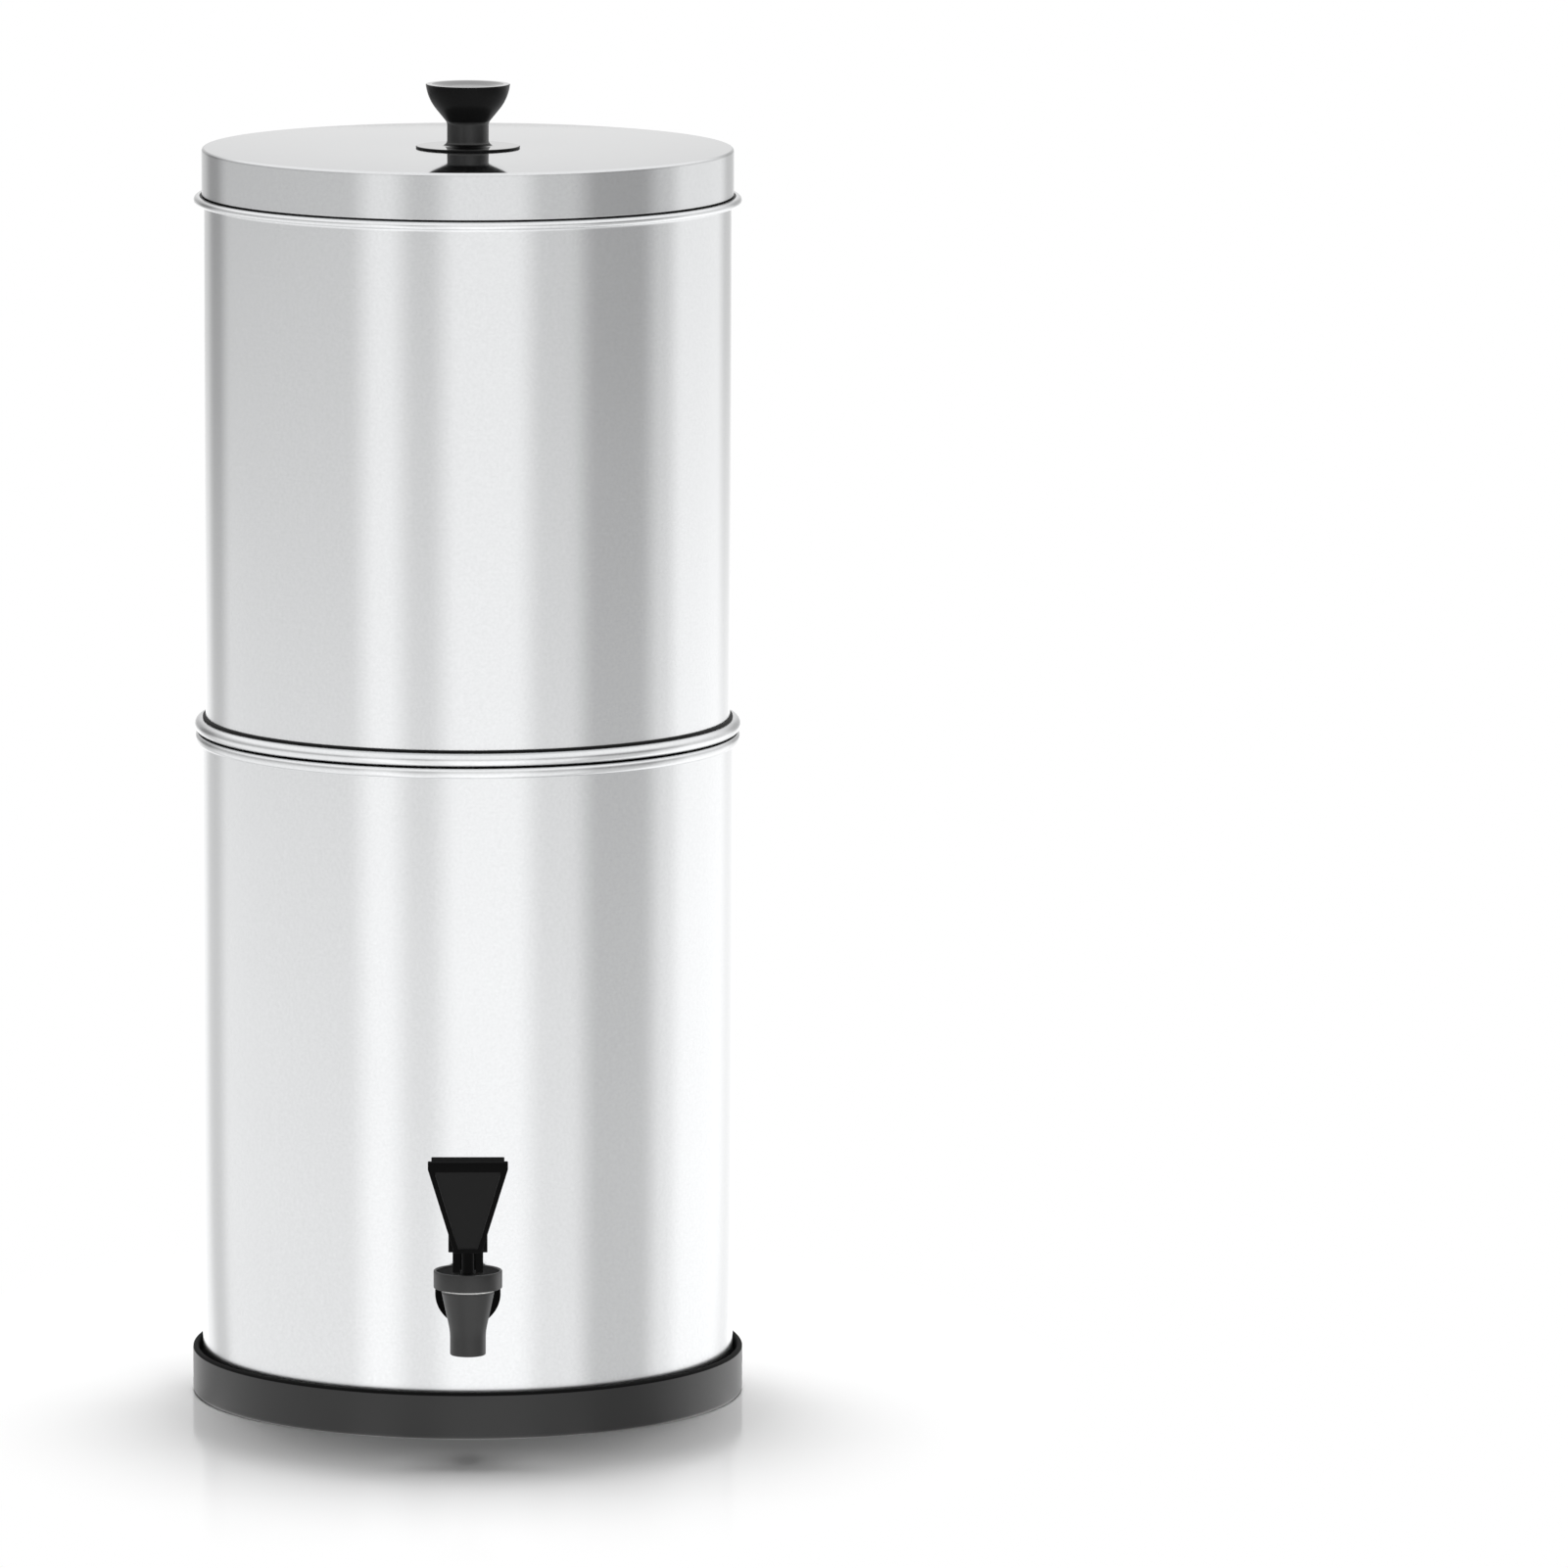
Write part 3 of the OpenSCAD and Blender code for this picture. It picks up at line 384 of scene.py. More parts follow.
chamber_steel = turned_metal("spun_stainless_chamber", "#DCDDDE", 0.20)
# Painted shade: the lid is the chambers' steel, with its colour painted a little darker.
lid_steel_painted_darker = turned_metal("spun_stainless_lid_painted_darker", "#D4D5D6", 0.20, line_depth=0.06)
# Painted shade: a near black steel for the faces in the seams, where shade falls.
seam_painted_shade = turned_metal("steel_painted_dark_as_seam_shade", "#1C1C1C", 0.5, lay=0.0)
# Inside, the sheet is only scoured, not polished, so it looks an even mid grey. A metallic
# share below one gives it that even scatter, which bare steel hasn't got.
inside_steel = turned_metal("scoured_steel_inside", "#E2E3E4", 0.5, lay=0.0)
inside_steel.node_tree.nodes["Principled BSDF"].inputs["Metallic"].default_value = 0.7


def faces_inwards(c, n):
    return n.xy.dot(c.xy) < -0.1 * c.xy.length


lid_mirror = turned_metal("mirror_polished_lid_top", "#DEDFE0", 0.07, line_depth=0.01, lay=0.0)
print("steel finishes:", chamber_steel.name, lid_steel_painted_darker.name, lid_mirror.name)

# %% [markdown]
# ## Lower chamber
# A drum spun from one sheet: flat floor, a 6 mm corner, a straight wall and a rim rolled
# round a wire, which stiffens the mouth and carries the upper chamber. The outline runs up
# the outside, over the rim and down the inside, so the sheet has its real thickness.
# Extra rings beside each curve hold the flat wall's shading still. A cylinder then cuts the
# hole for the tap, between two rings that keep the cut's uneven faces behind the flange.
# The faces in the narrow seams are painted near black as painted shade, so they read as black lines.

# %% Lower chamber
lower_in = LOWER_R - SHEET
lower_chamber = turn_shape("lower_chamber_shell", [
    (102, FLOOR_Z),
    *arc(102, FLOOR_Z + 6, 6, -90, 0)[1:],
    (LOWER_R, FLOOR_Z + 6.4), (LOWER_R, SHANK_Z - 8.5), (LOWER_R, SHANK_Z + 8.5),
    (LOWER_R, RIM_Z - 4.4),
    *arc(108.8, RIM_Z - 2.6, 1.6, -120, 0),
    *arc(108.8, RIM_Z - 1.6, 1.6, 0, 180),
    (lower_in, RIM_Z - 2), (lower_in, SHANK_Z + 8.5), (lower_in, SHANK_Z - 8.5),
    (lower_in, FLOOR_Z + 6.4),
    *arc(102, FLOOR_Z + 6, 5.2, 0, -90),
], sides=360)
drill(lower_chamber, 8.3, -120, -95, (0, SHANK_Z), lying=True)
hand_over(lower_chamber, "lower", chamber_steel, ["lower_chamber"])
finish_faces(lower_chamber, inside_steel, lambda c, n: faces_inwards(c, n)
             or n.z > 0.5 and c.z < FLOOR_Z + 8)
# Painted shade: the top of the rolled rim, under the upper chamber's bead, is painted near black.
finish_faces(lower_chamber, seam_painted_shade, lambda c, n: c.z > RIM_Z - 0.16)

# %% [markdown]
# ## Upper chamber
# Spun in the same way, 0.9 mm smaller all round at its foot, so that it drops 22 mm into
# the lower one. A hollow bead rolled out of the wall rests on the lower rim, and a finer
# one near the top carries the lid. The wall goes on above it as a collar inside the lid.
# Two holes in the floor take the elements' stems.

# %% Upper chamber
upper_in = UPPER_R - SHEET
upper_chamber = turn_shape("upper_chamber_shell", [
    (100.3, UPPER_FLOOR_Z),
    *arc(100.3, UPPER_FLOOR_Z + 6, 6, -90, 0)[1:],
    (UPPER_R, UPPER_FLOOR_Z + 6.4), (UPPER_R, SUPPORT_Z - 2), (UPPER_R, SUPPORT_Z),
    *arc(107.95, SUPPORT_Z + 2.75, 2.75, -90, 90, 14),
    (UPPER_R, BEAD_TOP_Z), (UPPER_R, BEAD_TOP_Z + 0.3), (UPPER_R, LID_BEAD_Z - 1.2),
    *arc(107.1, LID_BEAD_Z - 0.8, 0.8, 180, 90, 5),
    *arc(108.95, LID_BEAD_Z + 1.55, 1.55, -90, 90, 12),
    (108.2, LID_BEAD_Z + 3.1), (UPPER_R, LID_BEAD_Z + 3.1), (UPPER_R, LID_BEAD_Z + 5),
    (UPPER_R, COLLAR_Z - 0.7),
    *arc(105.9, COLLAR_Z - 0.4, 0.4, 0, 180, 6),
    (upper_in, COLLAR_Z - 0.7), (upper_in, LID_BEAD_Z + 2.3),
    *arc(108.95, LID_BEAD_Z + 1.55, 0.75, 90, -90, 6),
    (upper_in, LID_BEAD_Z + 0.8), (upper_in, BEAD_TOP_Z - 0.8),
    *arc(107.95, SUPPORT_Z + 2.75, 1.95, 90, -90, 10),
    (upper_in, SUPPORT_Z + 0.8), (upper_in, UPPER_FLOOR_Z + 6.4),
    *arc(100.3, UPPER_FLOOR_Z + 6, 5.2, 0, -90),
], sides=360)
for side in (-1, 1):
    drill(upper_chamber, 5.0, UPPER_FLOOR_Z - 2, UPPER_FLOOR_Z + 3, (side * ELEMENT_X, 0))
hand_over(upper_chamber, "upper", chamber_steel, ["upper_chamber"])
finish_faces(upper_chamber, inside_steel, lambda c, n: faces_inwards(c, n)
             or n.z > 0.5 and c.z < UPPER_FLOOR_Z + 8)
# Painted shade: the faces where the support bead meets the lower rim, and those just above the lid
# bead, are painted near black.
finish_faces(upper_chamber, seam_painted_shade, lambda c, n: c.xy.length > 106 and (
    SUPPORT_Z - 2 < c.z < SUPPORT_Z + 0.12
    or c.xy.length < 108 and LID_BEAD_Z + 3 < c.z < LID_BEAD_Z + 5))

# %% [markdown]
# ## Lid
# A shallow drum pressed from thinner sheet. Its top edge is a tight 1.2 mm curve that
# catches a thin line of light, and the skirt's lower edge is deburred. The knob's screw
# goes through a hole in the middle. The flat top is buffed to a mirror, in which the
# photograph shows the knob's neck again, so its faces get a second finish.

# %% Lid
lid = turn_shape("lid_shell", [
    (30, LID_TOP_Z), (106.1, LID_TOP_Z),
    *arc(106.1, LID_TOP_Z - 1.2, 1.2, 90, 0)[1:],
    (LID_R, LID_TOP_Z - 1.5), (LID_R, LID_LOW_Z + 0.7),
    *arc(106.95, LID_LOW_Z + 0.35, 0.35, 0, -180, 6),
    (106.6, LID_LOW_Z + 0.7), (106.6, LID_TOP_Z - 1.5),
    *arc(106.1, LID_TOP_Z - 1.2, 0.5, 0, 90, 5), (30, LID_TOP_Z - 0.7),
], sides=360)
drill(lid, 2.6, LID_TOP_Z - 3, LID_TOP_Z + 3)
hand_over(lid, "lid", lid_steel_painted_darker, ["lid"])
finish_faces(lid, lid_mirror, lambda c, n: n.z > 0.99 and c.z > LID_TOP_Z - 0.05)
finish_faces(lid, inside_steel, lambda c, n: faces_inwards(c, n)
             or n.z < -0.5 and c.z > LID_TOP_Z - 2)
# Painted shade: the skirt's underside is painted near black, as the shade in the gap over the bead.
finish_faces(lid, seam_painted_shade, lambda c, n: n.z < -0.5 and c.z < LID_LOW_Z + 1)

# %% [markdown]
# ## Base ring
# A ring of black rubber, turned over the chamber's lower corner, which it holds in a groove.
# Its section is closed, so the last circle is laid on the first and the two are merged.
# The top edge is a full round and the foot has small radii, as a moulded ring has.

# %% Base ring
ring_rubber = moulded("moulded_black_rubber", "#151515", 0.38, 0.6, 0.02, 0.12, 25)
ring_lip_painted_shade = moulded("rubber_lip_painted_black_as_shade", "#050505", 0.7, 0.6, 0.02, 0.12, 25,
                   Specular_IOR_Level=0.1)
base_ring = closed_ring("base_ring_formed", [
    (96.4, 0), (104, 0), *arc(110.5, 1.5, 1.5, -90, 0, 6),
    (112, 1.9), (112, 9.5), (112, RING_H - 1.6),
    *arc(110.8, RING_H - 1.2, 1.2, 0, 180, 10),
    (109.6, RING_H - 1.6), (109.6, 13.3), (108.1, 11), (108.1, FLOOR_Z + 0.3),
    (107.8, FLOOR_Z), (96.4, FLOOR_Z), (96, FLOOR_Z - 0.4), (96, 0.4),
], 288)
hand_over(base_ring, "lower", ring_rubber, ["base_ring"])
# Painted shade: the ring's rounded top and its inner faces are painted blacker than the rest of the
# rubber.
finish_faces(base_ring, ring_lip_painted_shade, lambda c, n: c.z > RING_H - 1.1
             or c.z > FLOOR_Z and c.xy.length < 110.5)

# %% [markdown]
# ## Seam ring
# The thin black line above the upper chamber's bead is a silicone ring that lies on the
# bead and hugs the wall. It is drawn with one rounded corner, which takes a thin light.

# %% Seam ring
seam_silicone = moulded("matt_black_silicone", "#080808", 0.6, 0.4, 0.01, 0.1, 18,
                        Specular_IOR_Level=0.15)
seam = closed_ring("seam_ring", [
    (UPPER_R, BEAD_TOP_Z), (UPPER_R + 1.1, BEAD_TOP_Z),
    *arc(UPPER_R + 0.6, BEAD_TOP_Z + 0.5, 0.5, 0, 90, 5), (UPPER_R, BEAD_TOP_Z + 1.0),
], 360)
hand_over(seam, "upper", seam_silicone, ["seam_gasket"])

# %% [markdown]
# ## Knob
# One glossy black moulding: a thin flange that lies on the lid, a neck, and a bowl that
# opens to a flat rim round a shallow dish. Its outline is a chain of tangent arcs, so light
# runs over it without a break. Rings close to the rim's corners keep them crisp. The flat
# tops of the flange and the rim come off a polished face of the mould and shine the most;
# the bowl has a calmer skin that mirrors little, which keeps its edges dark. The neck's
# colour is painted lighter than the rest of the moulding, a painted sheen.

# %% Knob
knob_gloss = moulded("polished_black_moulding", "#0A0A0A", 0.02, 0.5, 0.0003, 0.1, 14,
                     Coat_Weight=1.0, Coat_Roughness=0.02)
knob_dish = moulded("satin_black_dish", "#0A0A0A", 0.1, 0.5, 0.002, 0.1, 14)
knob_skin = moulded("calm_black_moulding", "#171717", 0.3, 0.5, 0.002, 0.1, 14,
                    Specular_IOR_Level=0.08)
knob_neck_painted_sheen = moulded("neck_moulding_painted_lighter_as_sheen", "#363636", 0.25, 0.5, 0.002, 0.1, 14,
                    Specular_IOR_Level=0.4)
knob = turn_shape("knob_formed", [(r, LID_TOP_Z + z) for r, z in [
    (4, 11), (4, 0), (20.2, 0), *arc(20.6, 0.4, 0.4, -90, 90, 6), (20.2, 0.8), (11.2, 0.8),
    *arc(10.6, 3.0, 2.2, 270, 180),
    *arc(11.4, 9.10, 3.0, 180, 141, 8), *arc(-1.654, 27.52, 18.74, -39, -6.8, 12),
    *arc(16.724, 25.45, 0.25, -5.6, 90, 5),
    (16.4, KNOB_H), (14.8, KNOB_H), (14.5, KNOB_H - 0.01), (14.2, KNOB_H - 0.04),
    (10, KNOB_H - 0.65), (7.8, KNOB_H - 0.97), (7.5, KNOB_H - 1.0),
]], 160)
hand_over(knob, "lid", knob_gloss, ["knob"])
finish_faces(knob, knob_skin, lambda c, n: n.z < 0.9)
# Painted sheen: the neck gets a lighter grey than the rest of the black moulding.
finish_faces(knob, knob_neck_painted_sheen, lambda c, n: n.z < 0.9 and c.xy.length < 8.9
             and 0.8 < c.z - LID_TOP_Z < 11)
finish_faces(knob, knob_dish, lambda c, n: n.z > 0.9 and c.xy.length < 14.6
             and c.z > LID_TOP_Z + 20)

# %% [markdown]
# ## Tap body
# The spout, the barrel, the flange and the threaded shank come out of one mould. The spout
# is turned upright about its own axis. The barrel and the flange are turned upright too and
# then laid down towards the wall, and the two are joined by a Boolean. The bores for the
# valve, the throat, the outlet and the shank are cut last, so water has its real way.
# Glass-filled nylon shows as a satin dark grey, a little rough, never mirror-like.

# %% Tap body
tap_satin = moulded("satin_tap_moulding", "#1A1A1A", 0.36, 0.35, 0.012, 0.1, 9)
# Painted shade: a near black copy of the tap's moulding for the flange's front and the bonnet's dish.
tap_painted_shade = moulded("tap_moulding_painted_black_as_shade", "#060606", 0.6, 0.35, 0.012, 0.1, 9,
                    Specular_IOR_Level=0.03)
# Painted highlight: a near white copy of the moulding for the lip's edge under the bonnet.
tap_lip_painted_highlight = moulded("lip_under_the_bonnet_painted_pale_as_highlight", "#F2F2F0", 0.4, 0.35, 0.005, 0.02, 9)
tap_body = turn_shape("tap_body_formed", [
    (6.8, -18), (7.1, -17.7), (7.1, -12), *arc(32.1, -11.4, 25, 180, 168, 6),
    (10.43, 7.0), (10.3, 7.25), (10.3, 7.55), (10.6, 7.8), (10.62, 7.9), (10.9, 8.1),
    (11.2, 8.15), (11.3, 8.25), (11.3, 8.9), (11.2, 9.0), (11.9, 9), (11.9, 12.9),
])
barrel = turn_shape("barrel", [
    (8, 0.5), (8, 32.4), (8.25, 32.9), (8.6, 33), (12.4, 33), *arc(12.3, 33.5, 0.5, -90, 0, 4)[1:],
    (12.8, 35.6), (12.5, 36), (8, 36), (7.1, 36.6), (7.1, 52), (6.6, 52.6),
])
set_down(barrel, turn=(-90, 0, 0))
combine(tap_body, barrel, "UNION")
shank_thread = wind_thread("shank_thread", 8.0, 0.95, 1.5, 37.5, 51.5)
set_down(shank_thread, turn=(-90, 0, 0))
combine(tap_body, shank_thread, "UNION")
drill(tap_body, 6.6, -4.5, 14)
drill(tap_body, 4.0, -7.5, -4)
drill(tap_body, 5.2, -19, -7)
drill(tap_body, 4.0, 0, 53, lying=True)
close_up(tap_body)
set_down(tap_body, place=(0, SPOUT_Y, SHANK_Z))
hand_over(tap_body, "lower", tap_satin, ["tap_body"], smooth=25)
# Painted highlight: the lip's edge under the bonnet is painted near white.
finish_faces(tap_body, tap_lip_painted_highlight, lambda c, n: 8.14 < c.z - SHANK_Z < 9.05
             and 11.1 < math.hypot(c.x, c.y - SPOUT_Y) < 11.4)
# Painted shade: the flange's faces are painted near black.
finish_faces(tap_body, tap_painted_shade, lambda c, n: 32.6 < c.y - SPOUT_Y < 36.2
             and math.hypot(c.x, c.z - SHANK_Z) > 8.1)

# %% [markdown]
# ## Bonnet
# The screw cap that closes the valve. Its top is a shallow dish with a raised lip, on which
# the lever's heels ride, and the rod comes up through a hole in the middle.

# %% Bonnet
bonnet = closed_ring("bonnet", [
    (2.5, 13.0), (12.0, 13.0), (12.0, 9.0), (13.35, 9.0), *arc(13.35, 9.3, 0.3, -90, 0, 4)[1:],
    (13.65, 15.6), *arc(13.25, 15.6, 0.4, 0, 90, 4)[1:], (12.95, 16.0),
    *arc(12.95, 15.7, 0.3, 90, 180, 4)[1:], (12.65, 15.4), (12.45, 15.2), (2.8, 15.2), (2.5, 14.9),
], 128)
set_down(bonnet, place=(0, SPOUT_Y, SHANK_Z))
hand_over(bonnet, "lower", tap_satin, ["tap_bonnet"])
# Painted shade: the dish on the bonnet's top is painted near black.
finish_faces(bonnet, tap_painted_shade, lambda c, n: n.z > 0.5 and c.z < SHANK_Z + 15.5)

# %% [markdown]
# ## Lever
# The lever is a leaning plate with a recessed panel, a hollow blade behind it and a fork
# whose two cheeks end in cam heels. The heels are involutes: their reach below the pin
# grows evenly with the tilt, so they lift the rod evenly as the lever comes forward. The
# heels' outline is drawn point by point like a sketch and given its width, the slabs are
# cubes drawn in at their lower end, and small radii are put on before the pieces are joined.
# A thin web closes the fork behind the rod. The panel's floor is etched and looks lighter.

# %% Helpers for the lever
def draw_outline(name, points, width):
    """Draws (y, z) points in turn, fills the outline and pulls its width along X."""
    bpy.ops.object.select_all(action="DESELECT")
    bpy.ops.mesh.primitive_plane_add(size=0.001)
    piece = start_piece(name)
    bpy.ops.object.mode_set(mode="EDIT")
    bpy.ops.mesh.select_mode(type="VERT")
    bpy.ops.mesh.select_all(action="SELECT")
    bpy.ops.mesh.merge(type="CENTER")
    bpy.ops.mesh.select_all(action="SELECT")
    bpy.ops.transform.translate(value=(-width / 2000, points[0][0] / 1000, points[0][1] / 1000))
    for (y0, z0), (y1, z1) in zip(points, points[1:] + points[:1]):
        bpy.ops.mesh.extrude_region_move(
            TRANSFORM_OT_translate={"value": (0, (y1 - y0) / 1000, (z1 - z0) / 1000)})
    bpy.ops.mesh.select_all(action="SELECT")
    bpy.ops.mesh.remove_doubles(threshold=0.000002)
    bpy.ops.mesh.edge_face_add()
    bpy.ops.mesh.extrude_region_move(TRANSFORM_OT_translate={"value": (width / 1000, 0, 0)})
    bpy.ops.object.mode_set(mode="OBJECT")
    close_up(piece)
    return piece


def slab(name, half, low, top, front, back):
    """A block between two heights and two depths, as wide as twice its half width."""
    bpy.ops.object.select_all(action="DESELECT")
    bpy.ops.mesh.primitive_cube_add(
        size=1, location=(0, (front + back) / 2000, (low + top) / 2000),
        scale=(half / 500, (back - front) / 1000, (top - low) / 1000))
    return start_piece(name)


def tapered_slab(name, half_top, half_low, low, shoulder, top, front, back):
    """A slab cut across at its shoulder and drawn in to its lower end."""
    piece = slab(name, half_top, low, top, front, back)
    pick(piece, "FACE", lambda c, n: True)
    bpy.ops.mesh.bisect(plane_co=(0, 0, shoulder / 1000), plane_no=(0, 0, 1))
    bpy.ops.object.mode_set(mode="OBJECT")
    pick(piece, "VERT", lambda p: p.z < low + 0.01)
    bpy.ops.transform.resize(value=(half_low / half_top, 1, 1), center_override=(0, 0, low / 1000))
    bpy.ops.object.mode_set(mode="OBJECT")
    return piece


LEAN = 15
SIN, COS = math.sin(math.radians(LEAN)), math.cos(math.radians(LEAN))


def blade_point(along, front):
    """A point on the leaning blade, seen from the side, as (y, z) from the pin."""
    return (-along * SIN - front * COS, along * COS - front * SIN)


def heel_point(tilt):
    """A point of the involute heel."""
    reach, turn = 11.5 + 0.0995 * tilt, math.radians(tilt)
    return (-reach * math.sin(turn) - 5.7009 * math.cos(turn),
            -reach * math.cos(turn) + 5.7009 * math.sin(turn))


print("heel at rest and open in mm:", heel_point(0), heel_point(30))

# %% Lever
lever_plastic = moulded("fine_grained_lever_moulding", "#030303", 0.6, 0.3, 0.015, 0.1, 8,
                        Specular_IOR_Level=0.06)
panel_plastic = moulded("etched_lever_panel", "#0B0B0B", 0.65, 0.25, 0.03, 0.12, 8,
                        Specular_IOR_Level=0.2)
lever = draw_outline("lever_formed", [
    *[heel_point(t) for t in range(0, 31, 2)],
    blade_point(0, 6.9), blade_point(2.8, 6.9), blade_point(2.8, 0), (3.4, 0), (3.4, -11.5),
], 12.1)
round_edges(lever, 0.3)
bosses = turn_shape("bosses", [
    (3.4, -7.75), *arc(3.4, -7.45, 0.3, -90, 0, 4)[1:], *arc(3.4, 7.45, 0.3, 0, 90, 4)], 64)
set_down(bosses, turn=(0, 90, 0))
combine(lever, bosses, "UNION")
slot_for_rod = draw_outline("slot_for_rod", [
    (-1.9, 4.7), (5.7, 4.7), (5.7, -16.5), (-17, -16.5), (-17, -5.39),
    *arc(0, 0, 3.35, 209, 124.6, 12)], 6.2)
combine(lever, slot_for_rod, "DIFFERENCE")
combine(lever, slab("web", 3.2, -11.3, -3.6, 2.7, 3.4), "UNION")
plate = tapered_slab("plate", 15.85, 5.45, -0.8, 35.7, 38.6, -8, -5.8)
round_edges(plate, 0.35)
panel = tapered_slab("panel", 12.85, 3.95, 1.0, 33.15, 34.6, -8.5, -7)
combine(plate, panel, "DIFFERENCE")
blade = tapered_slab("blade", 14.45, 5.45, -0.6, 35.7, 38.6, -6.4, -1.9)
round_edges(blade, 0.3)
hollow = tapered_slab("hollow", 13.05, 4.05, 7.7, 35.7, 37.2, -5.8, -1)
combine(blade, hollow, "DIFFERENCE")
combine(blade, slab("rib", 0.6, 7.2, 37.6, -6.2, -1.95), "UNION")
combine(plate, blade, "UNION")
set_down(plate, turn=(LEAN, 0, 0))
combine(lever, plate, "UNION")
pin_hole = turn_shape("pin_hole", [(1.25, -9), (1.25, 9)], 48)
combine(lever, set_down(pin_hole, turn=(0, 90, 0)), "DIFFERENCE")
close_up(lever)
set_down(lever, place=(0, SPOUT_Y, PIN_Z))
hand_over(lever, "lever", lever_plastic, ["tap_lever"])
finish_faces(lever, panel_plastic, lambda c, n: n.y < -0.9 and abs(
    (c.y - SPOUT_Y) * COS + (c.z - PIN_Z) * SIN + 7) < 0.05)

# %% [markdown]
# ## Filter elements
# Each element is a tube of pressed carbon between two glued caps. The lower cap carries the
# hollow threaded stem, which goes through the floor of the upper chamber, where a beige
# washer seals it. A sleeve and a wing nut pull it down from below. One element is modelled
# at the middle and then copied to both places, each copy with its own mesh.

# %% Helper for the pair of elements
def hand_over_pair(piece, kind, node, material):
    """Copies a piece to the left and right element and takes the pattern piece away."""
    for side, x in (("left", -ELEMENT_X), ("right", ELEMENT_X)):
        twin = copy_piece(piece, kind + "_" + side, place=(x, 0, 0))
        hand_over(twin, "upper", material, [node + "_" + side])
    bpy.data.objects.remove(piece)


# %% Carbon block and closed cap
pressed_carbon = moulded("pressed_granular_carbon", "#1B1B1B", 0.75, 0.55, 0.12, 0.25, 4)
satin_cap = moulded("satin_cap_moulding", "#141414", 0.4, 0.4, 0.01, 0.1, 10)
block = closed_ring("block", [
    (7.3, 257.9), (24, 257.9), (24.35, 258.2), (24.35, 434.6), (24, 434.9), (7.3, 434.9),
    (7, 434.6), (7, 258.2)], 128)
hand_over_pair(block, "carbon_block", "filter_block", pressed_carbon)
closed_cap = turn_shape("closed_cap", [
    (24.45, 434.9), (24.45, 428.3), *arc(24.75, 428.3, 0.3, 180, 270, 3)[1:],
    (27.85, 428.0), *arc(27.85, 428.6, 0.6, -90, 0, 5)[1:],
    *arc(27.85, 438.3, 0.6, 0, 90, 5), (27.4, 438.9)], 128)
hand_over_pair(closed_cap, "closed_cap", "filter_end_cap", satin_cap)

# %% Stem cap with its thread
stem_cap = closed_ring("stem_cap", [
    (2.6, 228.4), (2.9, 228.1), (3.6, 228.1), (4.0, 228.5), (4.0, 249.6), (4.55, 250.1),
    (4.55, BOSS_Z), (11.4, BOSS_Z), (11.6, BOSS_Z + 0.02), (18, 253.9), (27.4, 253.9),
    *arc(27.85, 254.5, 0.6, -90, 0, 5), *arc(27.85, 264.7, 0.6, 0, 90, 5),
    (24.75, 265.3), *arc(24.75, 265.0, 0.3, 90, 180, 3)[1:], (24.45, 257.9), (2.6, 257.9)], 128)
combine(stem_cap, wind_thread("stem_thread", 4.55, 0.6, 1.35, 229.4, 249.2), "UNION")
close_up(stem_cap)
hand_over_pair(stem_cap, "stem_cap", "filter_stem_cap", satin_cap)

# %% Seal washer and sleeve
beige_rubber = moulded("beige_washer_rubber", "#9C8672", 0.6, 0.5, 0.02, 0.08, 8)
natural_plastic = moulded("natural_translucent_plastic", "#C6CCC4", 0.35, 0.8, 0.004, 0.03, 6,
                          Subsurface_Weight=0.5, Subsurface_Scale=0.004)
washer = closed_ring("washer", [
    (4.95, 250.1), *arc(11.0, 250.4, 0.3, -90, 0, 3), *arc(11.0, 252.8, 0.3, 0, 90, 3),
    (4.95, BOSS_Z), (4.65, 252.8), (4.65, 250.4)])
hand_over_pair(washer, "beige_washer", "seal_washer", beige_rubber)
sleeve = closed_ring("sleeve", [
    (4.95, 240.4), (11.0, 240.4), (11.3, 240.7), (11.3, 242.9), (11.05, 243.1), (11.05, 243.4),
    (11.3, 243.6), (11.3, 246.1), (11.05, 246.3), (11.05, 246.6), (11.3, 246.8), (11.3, 249.0),
    (11.0, UPPER_FLOOR_Z), (4.95, UPPER_FLOOR_Z), (4.65, 249.0), (4.65, 240.7)])
hand_over_pair(sleeve, "clear_sleeve", "stem_spacer", natural_plastic)

# %% [markdown]
# ## Wing nut
# Moulded in glossy nylon. The hub is turned, and one wing is drawn as an outline, given its
# thickness and set in on both faces by an inset that is pushed inwards. The other wing is
# the same one turned half a circle.

# %% Wing nut
gloss_nylon = moulded("glossy_black_nylon", "#0B0B0B", 0.18, 0.6, 0.004, 0.1, 8)
NUT_Z = 240.4
nut = turn_shape("nut", [
    (9.9, NUT_Z), (10.1, NUT_Z - 0.2), (10.1, NUT_Z - 0.6), (7.4, NUT_Z - 2.6),
    (7.4, NUT_Z - 6.9), (7.1, NUT_Z - 7.2)], 96)
wing = draw_outline("wing", [(x, -z) for x, z in [
    (4.06, 5.27), (11.07, 12.585), *arc(13.05, 10.9, 2.6, 139.6, -40.4, 12)[1:-1],
    (15.03, 9.215), (8.94, 1.126)]], 3)
round_edges(wing, 0.25, 2)
pick(wing, "FACE", lambda c, n: abs(n.x) > 0.99 and abs(c.x) > 1.45)
bpy.ops.mesh.inset(thickness=0.0007, use_individual=True)
bpy.ops.transform.resize(value=(2 / 3, 1, 1), center_override=(0, 0, 0))
bpy.ops.object.mode_set(mode="OBJECT")
set_down(wing, turn=(0, 0, -90), place=(0, 0, NUT_Z))
other_wing = copy_piece(wing, "other_wing", turn=(0, 0, 180))
combine(nut, wing, "UNION")
combine(nut, other_wing, "UNION")
drill(nut, 4.65, NUT_Z - 8, NUT_Z + 1)
close_up(nut)
hand_over_pair(nut, "winged_nut", "wing_nut", gloss_nylon)

